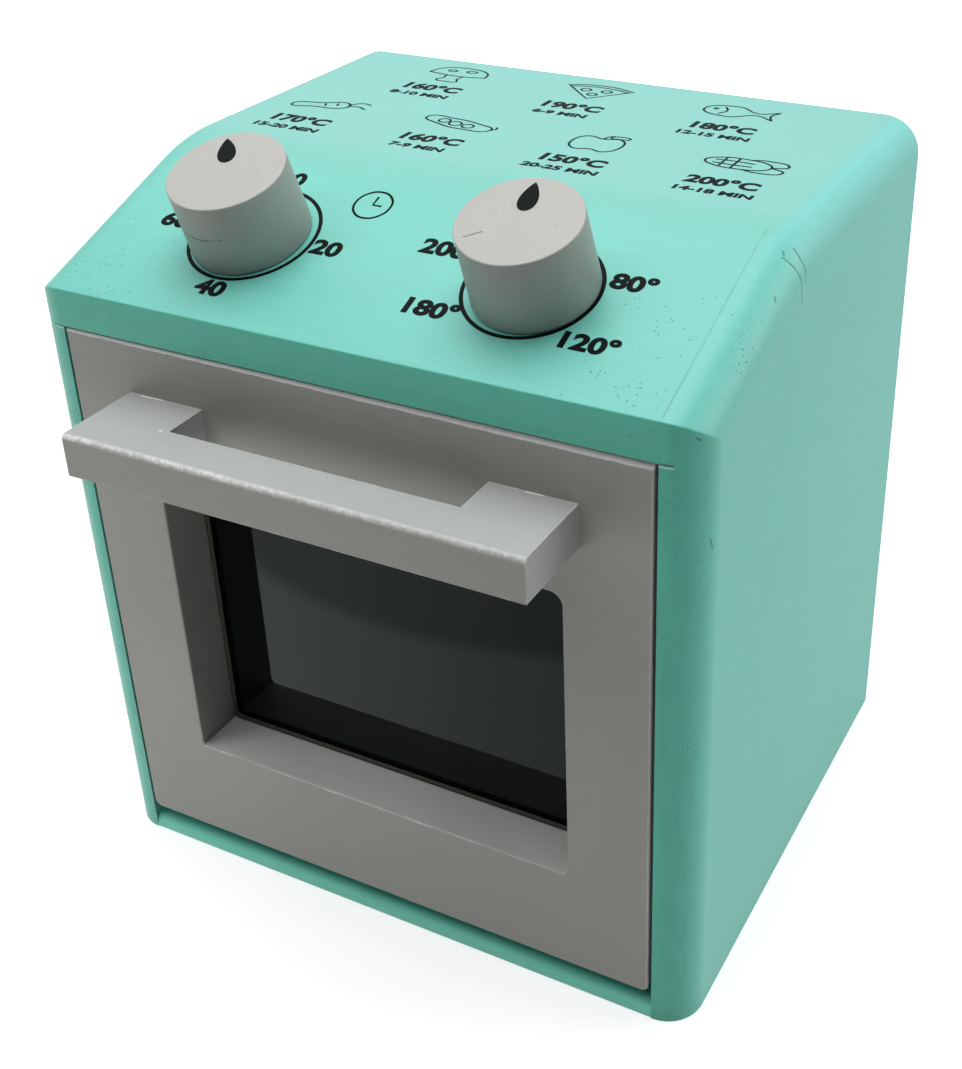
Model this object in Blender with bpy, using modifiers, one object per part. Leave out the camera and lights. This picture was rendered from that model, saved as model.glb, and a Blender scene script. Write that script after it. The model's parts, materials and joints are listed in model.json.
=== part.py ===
"""Wooden toy air fryer: a painted board cabinet with a drop-down door and two turning dials.

Metres, +Z up. X runs from left to right and Y from the front to the back. The origin is on
the table, under the middle of the whole toy.
"""

import math

import bmesh
import bpy
from mathutils import Matrix, Vector

# Clearances that all pieces share
JOINT_GAP = 0.0003
CUT_OVERRUN = 0.002

# Cabinet: 11 mm sides, thinner boards between them, and a sloping front half of the top
CABINET_DEPTH = 0.165
CABINET_HEIGHT = 0.2165
FRONT_HEIGHT = 0.1923
SLOPE_DEPTH = 0.066
CREASE_RADIUS = 0.060
SIDE_THICKNESS = 0.0112
EDGE_ROUND = 0.0110
TOP_THICKNESS = 0.009
BACK_THICKNESS = 0.006
BASE_THICKNESS = 0.006
BASE_NOSE_RADIUS = 0.003
RAIL_HEIGHT = 0.011
RAIL_DEPTH = 0.014

# Door: a thick panel with a window, turning on two pins in its lower corners
DOOR_WIDTH = 0.177
DOOR_THICKNESS = 0.016
DOOR_SIDE_GAP = 0.0005
DOOR_TOP_GAP = 0.0006
DOOR_SWING_CLEARANCE = 0.0003
DOOR_CORNER_RADIUS = 0.0025
DOOR_EDGE_EASE = 0.0007
WINDOW_SIDE_MARGIN = 0.0252
WINDOW_TOP_MARGIN = 0.0430
WINDOW_BOTTOM_MARGIN = 0.0338
WINDOW_UPPER_RADIUS = 0.005
WINDOW_LOWER_RADIUS = 0.002
HINGE_PIN_RADIUS = 0.0025
HINGE_PIN_IN_DOOR = 0.012
HINGE_PIN_IN_SIDE = 0.007

# Window pane behind the door panel, on a gasket strip, held by pan-head screws
GASKET_THICKNESS = 0.0012
GASKET_WIDTH = 0.004
PANE_THICKNESS = 0.003
PANE_OVERLAP = 0.012
PANE_CORNER_RADIUS = 0.004
PANE_SCREW_INSET = 0.004
PANE_SCREW_LENGTH = 0.013

# Handle: one piece of board cut to a U, with its bar standing clear of the door
HANDLE_LENGTH = 0.137
HANDLE_REACH = 0.027
HANDLE_THICKNESS = 0.0123
HANDLE_BAR_DEPTH = 0.0134
HANDLE_FOOT_LENGTH = 0.0246
HANDLE_TOP_MARGIN = 0.0152
HANDLE_INNER_RADIUS = 0.0012
HANDLE_EDGE_EASE = 0.0007
HANDLE_SCREW_BITE = 0.012

# Pan-head wood screws
SCREW_HEAD_RADIUS = 0.0030
SCREW_HEAD_HEIGHT = 0.0020
SCREW_SHANK_RADIUS = 0.0016
SCREW_POINT_LENGTH = 0.0025

# Catch: cleats inside the cabinet stop the door, and a magnet in each holds a steel disc
CLEAT_WIDTH = 0.013
CLEAT_DEPTH = 0.012
CLEAT_HEIGHT = 0.026
CLEAT_DROP = 0.006
CLEAT_CLEARANCE = 0.0005
MAGNET_RADIUS = 0.004
MAGNET_THICKNESS = 0.003
STRIKE_RADIUS = 0.004
STRIKE_THICKNESS = 0.0012

# Dials: a turned knob on an axle through the sloping panel
TIMER_X = -0.0456
TEMPERATURE_X = 0.0415
DIAL_UP_SLOPE = 0.0333
KNOB_HEIGHT = 0.0217
KNOB_BASE_RADIUS = 0.01675
KNOB_TOP_RADIUS = 0.0163
KNOB_EDGE_ROUND = 0.0009
KNOB_SOCKET_DEPTH = 0.012
AXLE_RADIUS = 0.004
AXLE_CLEARANCE = 0.0004
WASHER_RADIUS = 0.009
WASHER_THICKNESS = 0.0012
DISC_RADIUS = 0.009
DISC_THICKNESS = 0.0025
DIAL_SCREW_LENGTH = 0.011

# The two sides of the toy, as seen from the front
SIDES = (("left", -1), ("right", 1))

# Facet counts for round work
ARC_STEPS = 6
EDGE_STEPS = 8
PIN_STEPS = 20
SCREW_STEPS = 12
SCREW_ARC_STEPS = 3
KNOB_STEPS = 48

# Places worked out from the sizes above
CABINET_WIDTH = DOOR_WIDTH + 2 * (DOOR_SIDE_GAP + SIDE_THICKNESS)
HALF_WIDTH = CABINET_WIDTH / 2
INNER_HALF = HALF_WIDTH - SIDE_THICKNESS
FRONT_Y = (HANDLE_REACH - CABINET_DEPTH) / 2
SIDE_ROUND = min(EDGE_ROUND, SIDE_THICKNESS - JOINT_GAP / 2)
SLOPE_ANGLE = math.atan2(CABINET_HEIGHT - FRONT_HEIGHT, SLOPE_DEPTH)
RAIL_BOTTOM = FRONT_HEIGHT - RAIL_HEIGHT

DOOR_HALF = DOOR_THICKNESS / 2
DOOR_SWING = math.hypot(DOOR_HALF, DOOR_HALF)
HINGE_Z = BASE_THICKNESS + DOOR_SWING + DOOR_SWING_CLEARANCE
DOOR_BOTTOM = HINGE_Z - DOOR_HALF
DOOR_TOP = RAIL_BOTTOM - DOOR_TOP_GAP
DOOR_MIDDLE_Y = FRONT_Y + DOOR_HALF
DOOR_BACK_Y = FRONT_Y + DOOR_THICKNESS

WINDOW_HALF_WIDTH = DOOR_WIDTH / 2 - WINDOW_SIDE_MARGIN
WINDOW_LOW = DOOR_BOTTOM + WINDOW_BOTTOM_MARGIN
WINDOW_HIGH = DOOR_TOP - WINDOW_TOP_MARGIN
GASKET_Y = DOOR_BACK_Y + JOINT_GAP
PANE_Y = GASKET_Y + GASKET_THICKNESS + JOINT_GAP
PANE_BACK_Y = PANE_Y + PANE_THICKNESS

HANDLE_HIGH = DOOR_TOP - HANDLE_TOP_MARGIN
HANDLE_MIDDLE_Z = HANDLE_HIGH - HANDLE_THICKNESS / 2
HANDLE_FOOT_X = (HANDLE_LENGTH - HANDLE_FOOT_LENGTH) / 2

CLEAT_TOP = DOOR_TOP - CLEAT_DROP
CLEAT_FRONT_Y = DOOR_BACK_Y + CLEAT_CLEARANCE
CLEAT_OUTER_X = INNER_HALF - JOINT_GAP
CATCH_X = CLEAT_OUTER_X - CLEAT_WIDTH / 2
CATCH_Z = CLEAT_TOP - CLEAT_HEIGHT / 2


# Scene, materials and placing

def clear_scene():
    for old in list(bpy.data.objects):
        bpy.data.objects.remove(old, do_unlink=True)


def new_collection(name):
    made = bpy.data.collections.new(name)
    bpy.context.scene.collection.children.link(made)
    return made


def new_material(name, colour, roughness, metallic=0.0):
    made = bpy.data.materials.new(name)
    made.use_nodes = True
    made.diffuse_color = (*colour, 1.0)
    shader = made.node_tree.nodes["Principled BSDF"]
    shader.inputs["Base Color"].default_value = (*colour, 1.0)
    shader.inputs["Roughness"].default_value = roughness
    shader.inputs["Metallic"].default_value = metallic
    return made


clear_scene()
TOY = new_collection("toy_air_fryer")
CUTTERS = new_collection("cutters")

MINT_PAINT = new_material("mint_paint", (0.31, 0.76, 0.64), 0.55)
GREY_PAINT = new_material("grey_paint", (0.52, 0.51, 0.48), 0.55)
DARK_PANE = new_material("dark_pane", (0.008, 0.008, 0.009), 0.06)
DARK_GASKET = new_material("dark_gasket", (0.03, 0.03, 0.03), 0.8)
STEEL = new_material("zinc_steel", (0.62, 0.62, 0.60), 0.35, 1.0)
MAGNET = new_material("magnet_nickel", (0.45, 0.45, 0.44), 0.3, 1.0)
BARE_BEECH = new_material("bare_beech", (0.55, 0.38, 0.22), 0.6)
GREY_FELT = new_material("grey_felt", (0.10, 0.10, 0.10), 0.95)


def frame(origin, x_axis, y_axis):
    """A placing matrix from an origin and the world directions of its local X and Y."""
    x_axis, y_axis = Vector(x_axis), Vector(y_axis)
    turn = Matrix((x_axis, y_axis, x_axis.cross(y_axis))).transposed()
    return Matrix.Translation(origin) @ turn.to_4x4()


def front_view(y):
    """Local X and Y become world X and Z, as seen from the front, at the depth y."""
    return frame((0, y, 0), (1, 0, 0), (0, 0, 1))


def side_view(x):
    """Local X and Y become world Y and Z, as seen from the right, at the width x."""
    return frame((x, 0, 0), (0, 1, 0), (0, 0, 1))


def add_empty(name, matrix):
    made = bpy.data.objects.new(name, None)
    TOY.objects.link(made)
    made.empty_display_size = KNOB_BASE_RADIUS
    made.matrix_world = matrix
    bpy.context.view_layer.update()
    return made


def add_piece(name, mesh, material, matrix=None, carrier=None):
    made = bpy.data.objects.new(name, mesh)
    mesh.materials.clear()
    mesh.materials.append(material)
    TOY.objects.link(made)
    made.matrix_world = matrix or Matrix.Identity(4)
    if carrier:
        made.parent = carrier
        made.matrix_parent_inverse = carrier.matrix_world.inverted()
    return made


def add_cutter(name, mesh, matrix=None):
    made = bpy.data.objects.new(name, mesh)
    CUTTERS.objects.link(made)
    made.matrix_world = matrix or Matrix.Identity(4)
    made.hide_render = True
    made.display_type = "WIRE"
    return made


def cut(piece, cutter):
    knife = piece.modifiers.new("cut_" + cutter.name, "BOOLEAN")
    knife.operation = "DIFFERENCE"
    knife.solver = "EXACT"
    knife.object = cutter


def shade_round(mesh):
    mesh.shade_smooth()
    mesh.set_sharp_from_angle(angle=math.radians(35))


# Outlines

def arc(centre, radius, start, end, steps):
    """Points on an arc, from the start angle to the end angle, both in degrees."""
    turns = [math.radians(start + (end - start) * step / steps) for step in range(steps + 1)]
    return [(centre[0] + radius * math.cos(t), centre[1] + radius * math.sin(t)) for t in turns]


def rounded_box_outline(x_low, x_high, y_low, y_high, lower_radius, upper_radius):
    """An anticlockwise rectangle with round lower and round or square upper corners."""
    low, high = lower_radius, upper_radius
    points = arc((x_low + low, y_low + low), low, 180, 270, ARC_STEPS)
    points += arc((x_high - low, y_low + low), low, 270, 360, ARC_STEPS)
    if not high:
        return points + [(x_high, y_high), (x_low, y_high)]
    points += arc((x_high - high, y_high - high), high, 0, 90, ARC_STEPS)
    return points + arc((x_low + high, y_high - high), high, 90, 180, ARC_STEPS)


# Shapes

def board_mesh(name, outlines, thickness, ease=0.0):
    """A flat board from closed outlines, the first the outer one, with its edges eased."""
    flat = bpy.data.curves.new(name + "_outline", "CURVE")
    flat.dimensions = "2D"
    flat.fill_mode = "BOTH"
    flat.extrude = thickness / 2 - ease
    flat.bevel_depth = ease
    flat.bevel_resolution = 1
    flat.offset = -ease
    for outline in outlines:
        spline = flat.splines.new("POLY")
        spline.points.add(len(outline) - 1)
        for point, (x, y) in zip(spline.points, outline):
            point.co = (x, y, 0, 1)
        spline.use_cyclic_u = True
    holder = bpy.data.objects.new(name + "_outline", flat)
    bpy.context.scene.collection.objects.link(holder)
    seen = holder.evaluated_get(bpy.context.evaluated_depsgraph_get())
    mesh = bpy.data.meshes.new_from_object(seen)
    bpy.data.objects.remove(holder, do_unlink=True)
    work = bmesh.new()
    work.from_mesh(mesh)
    bmesh.ops.remove_doubles(work, verts=work.verts, dist=JOINT_GAP / 100)
    bmesh.ops.recalc_face_normals(work, faces=work.faces)
    work.to_mesh(mesh)
    work.free()
    return mesh


def box_mesh(name, low, high):
    """A box between two opposite corners."""
    low, high = Vector(low), Vector(high)
    place = Matrix.Translation((low + high) / 2) @ Matrix.Diagonal((*(high - low), 1))
    work = bmesh.new()
    bmesh.ops.create_cube(work, size=1, matrix=place)
    mesh = bpy.data.meshes.new(name)
    work.to_mesh(mesh)
    work.free()
    return mesh


def cylinder_mesh(name, radius, z_low, z_high, steps=PIN_STEPS):
    """A cylinder along local Z."""
    place = Matrix.Translation((0, 0, (z_low + z_high) / 2))
    work = bmesh.new()
    bmesh.ops.create_cone(work, cap_ends=True, segments=steps, radius1=radius, radius2=radius,
                          depth=z_high - z_low, matrix=place)
    mesh = bpy.data.meshes.new(name)
    work.to_mesh(mesh)
    work.free()
    shade_round(mesh)
    return mesh


def turned_mesh(name, profile, steps):
    """A solid of revolution about local Z, from a profile that runs from its top to its foot."""
    line = bpy.data.meshes.new(name + "_profile")
    points = [(radius, 0, z) for radius, z in profile]
    line.from_pydata(points, [(i, i + 1) for i in range(len(points) - 1)], [])
    holder = bpy.data.objects.new(name + "_profile", line)
    bpy.context.scene.collection.objects.link(holder)
    turn = holder.modifiers.new("turn", "SCREW")
    turn.steps = steps
    turn.render_steps = steps
    turn.use_merge_vertices = True
    turn.merge_threshold = JOINT_GAP / 100
    seen = holder.evaluated_get(bpy.context.evaluated_depsgraph_get())
    mesh = bpy.data.meshes.new_from_object(seen)
    bpy.data.objects.remove(holder, do_unlink=True)
    shade_round(mesh)
    return mesh


def copies_mesh(name, pattern, places):
    """One mesh that holds a copy of the pattern at each place."""
    work = bmesh.new()
    for place in places:
        piece = pattern.copy()
        piece.transform(place)
        work.from_mesh(piece)
        bpy.data.meshes.remove(piece)
    mesh = bpy.data.meshes.new(name)
    work.to_mesh(mesh)
    work.free()
    shade_round(mesh)
    return mesh


def screw_profile(length):
    """A pan-head screw: the head above local zero, the shank and its point below."""
    dome = arc((0, 0), 1, 90, 0, SCREW_ARC_STEPS)
    head = [(SCREW_HEAD_RADIUS * x, SCREW_HEAD_HEIGHT * y) for x, y in dome]
    shank = [(SCREW_SHANK_RADIUS, 0), (SCREW_SHANK_RADIUS, SCREW_POINT_LENGTH - length)]
    return head + shank + [(0, -length)]


def screw_hole_mesh(name, depth):
    """The clearance hole of a screw, below local zero."""
    radius = SCREW_SHANK_RADIUS + JOINT_GAP
    return cylinder_mesh(name, radius, -depth, CUT_OVERRUN, SCREW_STEPS)


# Cabinet outline, seen from the side: Y from the front face, Z from the table

def top_line(inset):
    """The sloping panel, the round crease and the flat deck, moved inwards by the inset.

    The crease is a ridge where the panel rises to the deck, and a hollow where it falls."""
    turn = math.degrees(SLOPE_ANGLE)
    ridge = math.copysign(1, SLOPE_ANGLE)
    run = CREASE_RADIUS * math.tan(abs(SLOPE_ANGLE) / 2)
    centre = (SLOPE_DEPTH + run, CABINET_HEIGHT - ridge * CREASE_RADIUS)
    return arc(centre, CREASE_RADIUS - ridge * inset, ridge * 90 + turn, ridge * 90, ARC_STEPS)


def slope_height(y, inset=0.0):
    """Height of the sloping surface at the depth y, moved inwards by the inset."""
    return FRONT_HEIGHT + y * math.tan(SLOPE_ANGLE) - inset / math.cos(SLOPE_ANGLE)


def in_world(points):
    """Shifts an outline from the cabinet's front face to the toy's own origin."""
    return [(FRONT_Y + y, z) for y, z in points]


def side_outline(inset):
    """Side board, with its front and top edges moved inwards by the inset."""
    front = [(inset, 0), (inset, slope_height(inset, inset))]
    back = [(CABINET_DEPTH, CABINET_HEIGHT - inset), (CABINET_DEPTH, 0)]
    return in_world(front + top_line(inset) + back)


def rail_outline(inset):
    """Front rail, with its front and top edges moved inwards by the inset."""
    front = [(inset, RAIL_BOTTOM), (inset, slope_height(inset, inset))]
    back = [(RAIL_DEPTH, slope_height(RAIL_DEPTH, inset)), (RAIL_DEPTH, RAIL_BOTTOM)]
    return in_world(front + back)


def round_stations(end_x):
    """Widths and insets of a quarter-round edge that ends at end_x."""
    side = math.copysign(1, end_x)
    stations = []
    for step in range(EDGE_STEPS + 1):
        turn = math.pi / 2 * step / EDGE_STEPS
        x = abs(end_x) - SIDE_ROUND * (1 - math.sin(turn))
        stations.append((side * x, SIDE_ROUND * (1 - math.cos(turn))))
    return stations


def lofted_mesh(name, outline, stations):
    """A solid through the outline at each station, a pair of a width and an inset."""
    work = bmesh.new()
    rings = []
    for x, inset in stations:
        rings.append([work.verts.new((x, y, z)) for y, z in outline(inset)])
    for near, far in zip(rings, rings[1:]):
        for i in range(len(near)):
            j = (i + 1) % len(near)
            work.faces.new((near[i], near[j], far[j], far[i]))
    work.faces.new(rings[0])
    work.faces.new(rings[-1])
    bmesh.ops.recalc_face_normals(work, faces=work.faces)
    mesh = bpy.data.meshes.new(name)
    work.to_mesh(mesh)
    work.free()
    mesh.shade_smooth()
    mesh.set_sharp_from_angle(angle=math.radians(20))
    return mesh


# Moving bodies: the door turns on its pins, each dial on its axle

def slope_frame(x):
    """Origin on the sloping surface at a dial, local Y up the slope, local Z out of it."""
    y = DIAL_UP_SLOPE * math.cos(SLOPE_ANGLE)
    origin = (x, FRONT_Y + y, slope_height(y))
    return frame(origin, (1, 0, 0), (0, math.cos(SLOPE_ANGLE), math.sin(SLOPE_ANGLE)))


DOOR_HINGE = add_empty("door_hinge", Matrix.Translation((0, DOOR_MIDDLE_Y, HINGE_Z)))


# Cabinet

def make_side_board(name, side):
    """A side board, its front and top edges rounded off nearly to its full thickness."""
    stations = [(side * INNER_HALF, 0.0)] + round_stations(side * HALF_WIDTH)
    board = add_piece(name, lofted_mesh(name, side_outline, stations), MINT_PAINT)
    notch_back = FRONT_Y + RAIL_DEPTH + JOINT_GAP
    notch_roof = max(FRONT_HEIGHT, CABINET_HEIGHT) + CUT_OVERRUN
    notch_low = (side * INNER_HALF - HALF_WIDTH, FRONT_Y - CUT_OVERRUN, RAIL_BOTTOM - JOINT_GAP)
    notch_high = (side * INNER_HALF + HALF_WIDTH, notch_back, notch_roof)
    cut(board, add_cutter(name + "_rail_notch", box_mesh(name, notch_low, notch_high)))
    turn = frame((0, DOOR_MIDDLE_Y, HINGE_Z), (0, 1, 0), (0, 0, 1))
    reach = INNER_HALF + HINGE_PIN_IN_SIDE + JOINT_GAP
    ends = sorted((side * (INNER_HALF - CUT_OVERRUN), side * reach))
    bore = cylinder_mesh(name + "_pin_hole", HINGE_PIN_RADIUS + JOINT_GAP, *ends)
    cut(board, add_cutter(name + "_pin_hole", bore, turn))


def make_front_rail():
    """The full-width rail above the door, with its ends rounded like the sides."""
    stations = list(reversed(round_stations(-HALF_WIDTH))) + round_stations(HALF_WIDTH)
    add_piece("front_rail", lofted_mesh("front_rail", rail_outline, stations), MINT_PAINT)


def make_cross_board(name, points):
    """A board that spans the cabinet between its sides, from its outline seen from the side."""
    width = 2 * (INNER_HALF - JOINT_GAP)
    mesh = board_mesh(name, [in_world(points)], width)
    return add_piece(name, mesh, MINT_PAINT, side_view(0))


def make_top_boards():
    """The sloping panel and the deck, which meet in a mitre in the middle of the crease."""
    crease = top_line(0.0)
    under = top_line(TOP_THICKNESS)
    middle = len(crease) // 2
    front_y = RAIL_DEPTH + JOINT_GAP
    panel = [(front_y, slope_height(front_y, TOP_THICKNESS))]
    panel += under[:middle + 1] + list(reversed(crease[:middle + 1]))
    panel += [(front_y, slope_height(front_y))]
    make_cross_board("control_panel", panel)
    shift = JOINT_GAP
    deck = [(y + shift, z) for y, z in under[middle:]]
    deck += [(CABINET_DEPTH, CABINET_HEIGHT - TOP_THICKNESS), (CABINET_DEPTH, CABINET_HEIGHT)]
    deck += [(y + shift, z) for y, z in reversed(crease[middle:])]
    make_cross_board("top_deck", deck)


def make_base_and_back():
    """The base with its rounded nose, and the back between the base and the deck."""
    nose = BASE_NOSE_RADIUS
    back_y = CABINET_DEPTH - BACK_THICKNESS
    base = [(0, 0), (back_y - JOINT_GAP, 0), (back_y - JOINT_GAP, BASE_THICKNESS)]
    base += arc((nose, BASE_THICKNESS - nose), nose, 90, 180, ARC_STEPS)
    make_cross_board("base_board", base)
    roof = CABINET_HEIGHT - TOP_THICKNESS - JOINT_GAP
    back = [(back_y, 0), (CABINET_DEPTH, 0), (CABINET_DEPTH, roof), (back_y, roof)]
    make_cross_board("back_board", back)


def catch_place(side, y):
    """Local Z runs backwards from the catch's face at the depth y."""
    return frame((side * CATCH_X, y, CATCH_Z), (1, 0, 0), (0, 0, -1))


def make_catch():
    """Stop cleats glued to the sides, each with a magnet set into its front face."""
    pocket = cylinder_mesh("magnet_pocket", MAGNET_RADIUS + JOINT_GAP, -CUT_OVERRUN,
                           MAGNET_THICKNESS + JOINT_GAP)
    magnet = cylinder_mesh("magnet", MAGNET_RADIUS, 0, MAGNET_THICKNESS)
    for name, side in SIDES:
        across = sorted((side * CLEAT_OUTER_X, side * (CLEAT_OUTER_X - CLEAT_WIDTH)))
        low = (across[0], CLEAT_FRONT_Y, CLEAT_TOP - CLEAT_HEIGHT)
        high = (across[1], CLEAT_FRONT_Y + CLEAT_DEPTH, CLEAT_TOP)
        cleat = add_piece("stop_cleat_" + name, box_mesh("stop_cleat", low, high), MINT_PAINT)
        place = catch_place(side, CLEAT_FRONT_Y)
        cut(cleat, add_cutter("magnet_pocket_" + name, pocket, place))
        add_piece("catch_magnet_" + name, magnet, MAGNET, place)


def make_hinge_pins():
    """Steel pins, tight in the side boards and free in the door."""
    for name, side in SIDES:
        door_end = DOOR_WIDTH / 2 - HINGE_PIN_IN_DOOR
        ends = sorted((side * door_end, side * (INNER_HALF + HINGE_PIN_IN_SIDE)))
        turn = frame((0, DOOR_MIDDLE_Y, HINGE_Z), (0, 1, 0), (0, 0, 1))
        add_piece("hinge_pin_" + name, cylinder_mesh("pin", HINGE_PIN_RADIUS, *ends), STEEL, turn)


# Door

def window_outline(margin, lower_radius, upper_radius):
    """The window's outline, grown outwards by the margin."""
    x = WINDOW_HALF_WIDTH + margin
    low, high = WINDOW_LOW - margin, WINDOW_HIGH + margin
    return rounded_box_outline(-x, x, low, high, lower_radius, upper_radius)


def pane_screw_places():
    """Screws round the pane: one near each corner, and one half way along the top and foot."""
    reach = PANE_OVERLAP - PANE_SCREW_INSET
    x = WINDOW_HALF_WIDTH + reach
    columns = (-x, 0, x)
    rows = (WINDOW_LOW - reach, WINDOW_HIGH + reach)
    y = PANE_BACK_Y + JOINT_GAP
    return [frame((column, y, row), (1, 0, 0), (0, 0, -1)) for column in columns for row in rows]


def handle_screw_places():
    """Screws from the back of the door into the feet of the handle."""
    y = DOOR_BACK_Y + JOINT_GAP
    return [frame((side * HANDLE_FOOT_X, y, HANDLE_MIDDLE_Z), (1, 0, 0), (0, 0, -1))
            for side in (-1, 1)]


def make_door_panel():
    """The door panel, with its window, pin holes, screw holes and the pockets of the catch."""
    half = DOOR_WIDTH / 2
    outer = rounded_box_outline(-half, half, DOOR_BOTTOM, DOOR_TOP, DOOR_CORNER_RADIUS, 0)
    window = list(reversed(window_outline(0, WINDOW_LOWER_RADIUS, WINDOW_UPPER_RADIUS)))
    mesh = board_mesh("door_panel", [outer, window], DOOR_THICKNESS, DOOR_EDGE_EASE)
    door = add_piece("door_panel", mesh, GREY_PAINT, front_view(DOOR_MIDDLE_Y), DOOR_HINGE)
    turn = frame((0, DOOR_MIDDLE_Y, HINGE_Z), (0, 1, 0), (0, 0, 1))
    for name, side in SIDES:
        inner = half - HINGE_PIN_IN_DOOR - JOINT_GAP
        ends = sorted((side * inner, side * (half + CUT_OVERRUN)))
        bore = cylinder_mesh("door_pin_hole", HINGE_PIN_RADIUS + JOINT_GAP, *ends)
        cut(door, add_cutter("door_pin_hole_" + name, bore, turn))
    pane_bite = PANE_SCREW_LENGTH + JOINT_GAP
    pane_hole = screw_hole_mesh("pane_screw_hole", pane_bite)
    holes = copies_mesh("pane_screw_holes", pane_hole, pane_screw_places())
    cut(door, add_cutter("pane_screw_holes", holes))
    handle_hole = screw_hole_mesh("handle_screw_hole", DOOR_THICKNESS + CUT_OVERRUN)
    holes = copies_mesh("handle_screw_holes", handle_hole, handle_screw_places())
    cut(door, add_cutter("handle_screw_holes", holes))
    pocket = cylinder_mesh("strike_pocket", STRIKE_RADIUS + JOINT_GAP,
                           -STRIKE_THICKNESS - JOINT_GAP, CUT_OVERRUN)
    places = [catch_place(side, DOOR_BACK_Y) for side in (-1, 1)]
    cut(door, add_cutter("strike_pockets", copies_mesh("strike_pockets", pocket, places)))
    strike = cylinder_mesh("strike_disc", STRIKE_RADIUS, -STRIKE_THICKNESS, 0)
    for (name, side), place in zip(SIDES, places):
        add_piece("strike_disc_" + name, strike, STEEL, place, DOOR_HINGE)


def make_handle():
    """The U-shaped handle: two feet against the door and a bar between them."""
    half = HANDLE_LENGTH / 2
    front = FRONT_Y - HANDLE_REACH
    seat = FRONT_Y - JOINT_GAP
    bar = front + HANDLE_BAR_DEPTH
    foot = half - HANDLE_FOOT_LENGTH
    inner = HANDLE_INNER_RADIUS
    outline = [(-half, front), (half, front), (half, seat), (foot, seat)]
    outline += arc((foot - inner, bar + inner), inner, 0, -90, ARC_STEPS)
    outline += arc((inner - foot, bar + inner), inner, 270, 180, ARC_STEPS)
    outline += [(-foot, seat), (-half, seat)]
    mesh = board_mesh("door_handle", [outline], HANDLE_THICKNESS, HANDLE_EDGE_EASE)
    place = Matrix.Translation((0, 0, HANDLE_MIDDLE_Z))
    handle = add_piece("door_handle", mesh, GREY_PAINT, place, DOOR_HINGE)
    depth = DOOR_THICKNESS + 2 * JOINT_GAP + HANDLE_SCREW_BITE
    hole = screw_hole_mesh("handle_screw_socket", depth + JOINT_GAP)
    sockets = copies_mesh("handle_screw_sockets", hole, handle_screw_places())
    cut(handle, add_cutter("handle_screw_sockets", sockets))
    screw = turned_mesh("handle_screw", screw_profile(depth), SCREW_STEPS)
    for (name, side), screw_place in zip(SIDES, handle_screw_places()):
        add_piece("handle_screw_" + name, screw, STEEL, screw_place, DOOR_HINGE)


def make_window():
    """The gasket strip and the pane behind the window, with the screws that hold the pane."""
    lower, upper = WINDOW_LOWER_RADIUS, WINDOW_UPPER_RADIUS
    outer = window_outline(GASKET_WIDTH, lower + GASKET_WIDTH, upper + GASKET_WIDTH)
    inner = list(reversed(window_outline(0, lower, upper)))
    mesh = board_mesh("window_gasket", [outer, inner], GASKET_THICKNESS)
    middle = GASKET_Y + GASKET_THICKNESS / 2
    add_piece("window_gasket", mesh, DARK_GASKET, front_view(middle), DOOR_HINGE)
    outline = window_outline(PANE_OVERLAP, PANE_CORNER_RADIUS, PANE_CORNER_RADIUS)
    mesh = board_mesh("window_pane", [outline], PANE_THICKNESS)
    middle = PANE_Y + PANE_THICKNESS / 2
    pane = add_piece("window_pane", mesh, DARK_PANE, front_view(middle), DOOR_HINGE)
    hole = screw_hole_mesh("pane_hole", PANE_THICKNESS + CUT_OVERRUN)
    holes = copies_mesh("pane_holes", hole, pane_screw_places())
    cut(pane, add_cutter("pane_holes", holes))
    screw = turned_mesh("pane_screw", screw_profile(PANE_SCREW_LENGTH), SCREW_STEPS)
    for number, place in enumerate(pane_screw_places(), start=1):
        add_piece(f"pane_screw_{number}", screw, STEEL, place, DOOR_HINGE)


# Dials

def knob_profile():
    """A turned knob that tapers a little to its top, with a socket for the axle below."""
    edge = KNOB_EDGE_ROUND
    foot = JOINT_GAP
    top = foot + KNOB_HEIGHT
    socket = AXLE_RADIUS + JOINT_GAP
    profile = [(0, top)]
    profile += arc((KNOB_TOP_RADIUS - edge, top - edge), edge, 90, 0, ARC_STEPS)
    profile += arc((KNOB_BASE_RADIUS - edge, foot + edge), edge, 0, -90, ARC_STEPS)
    roof = KNOB_SOCKET_DEPTH + JOINT_GAP
    return profile + [(socket, foot), (socket, roof), (0, roof)]


def ring_profile(inner, outer, z_low, z_high):
    """A washer: down its outer side and back up through its hole."""
    return [(inner, z_high), (outer, z_high), (outer, z_low), (inner, z_low), (inner, z_high)]


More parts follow.
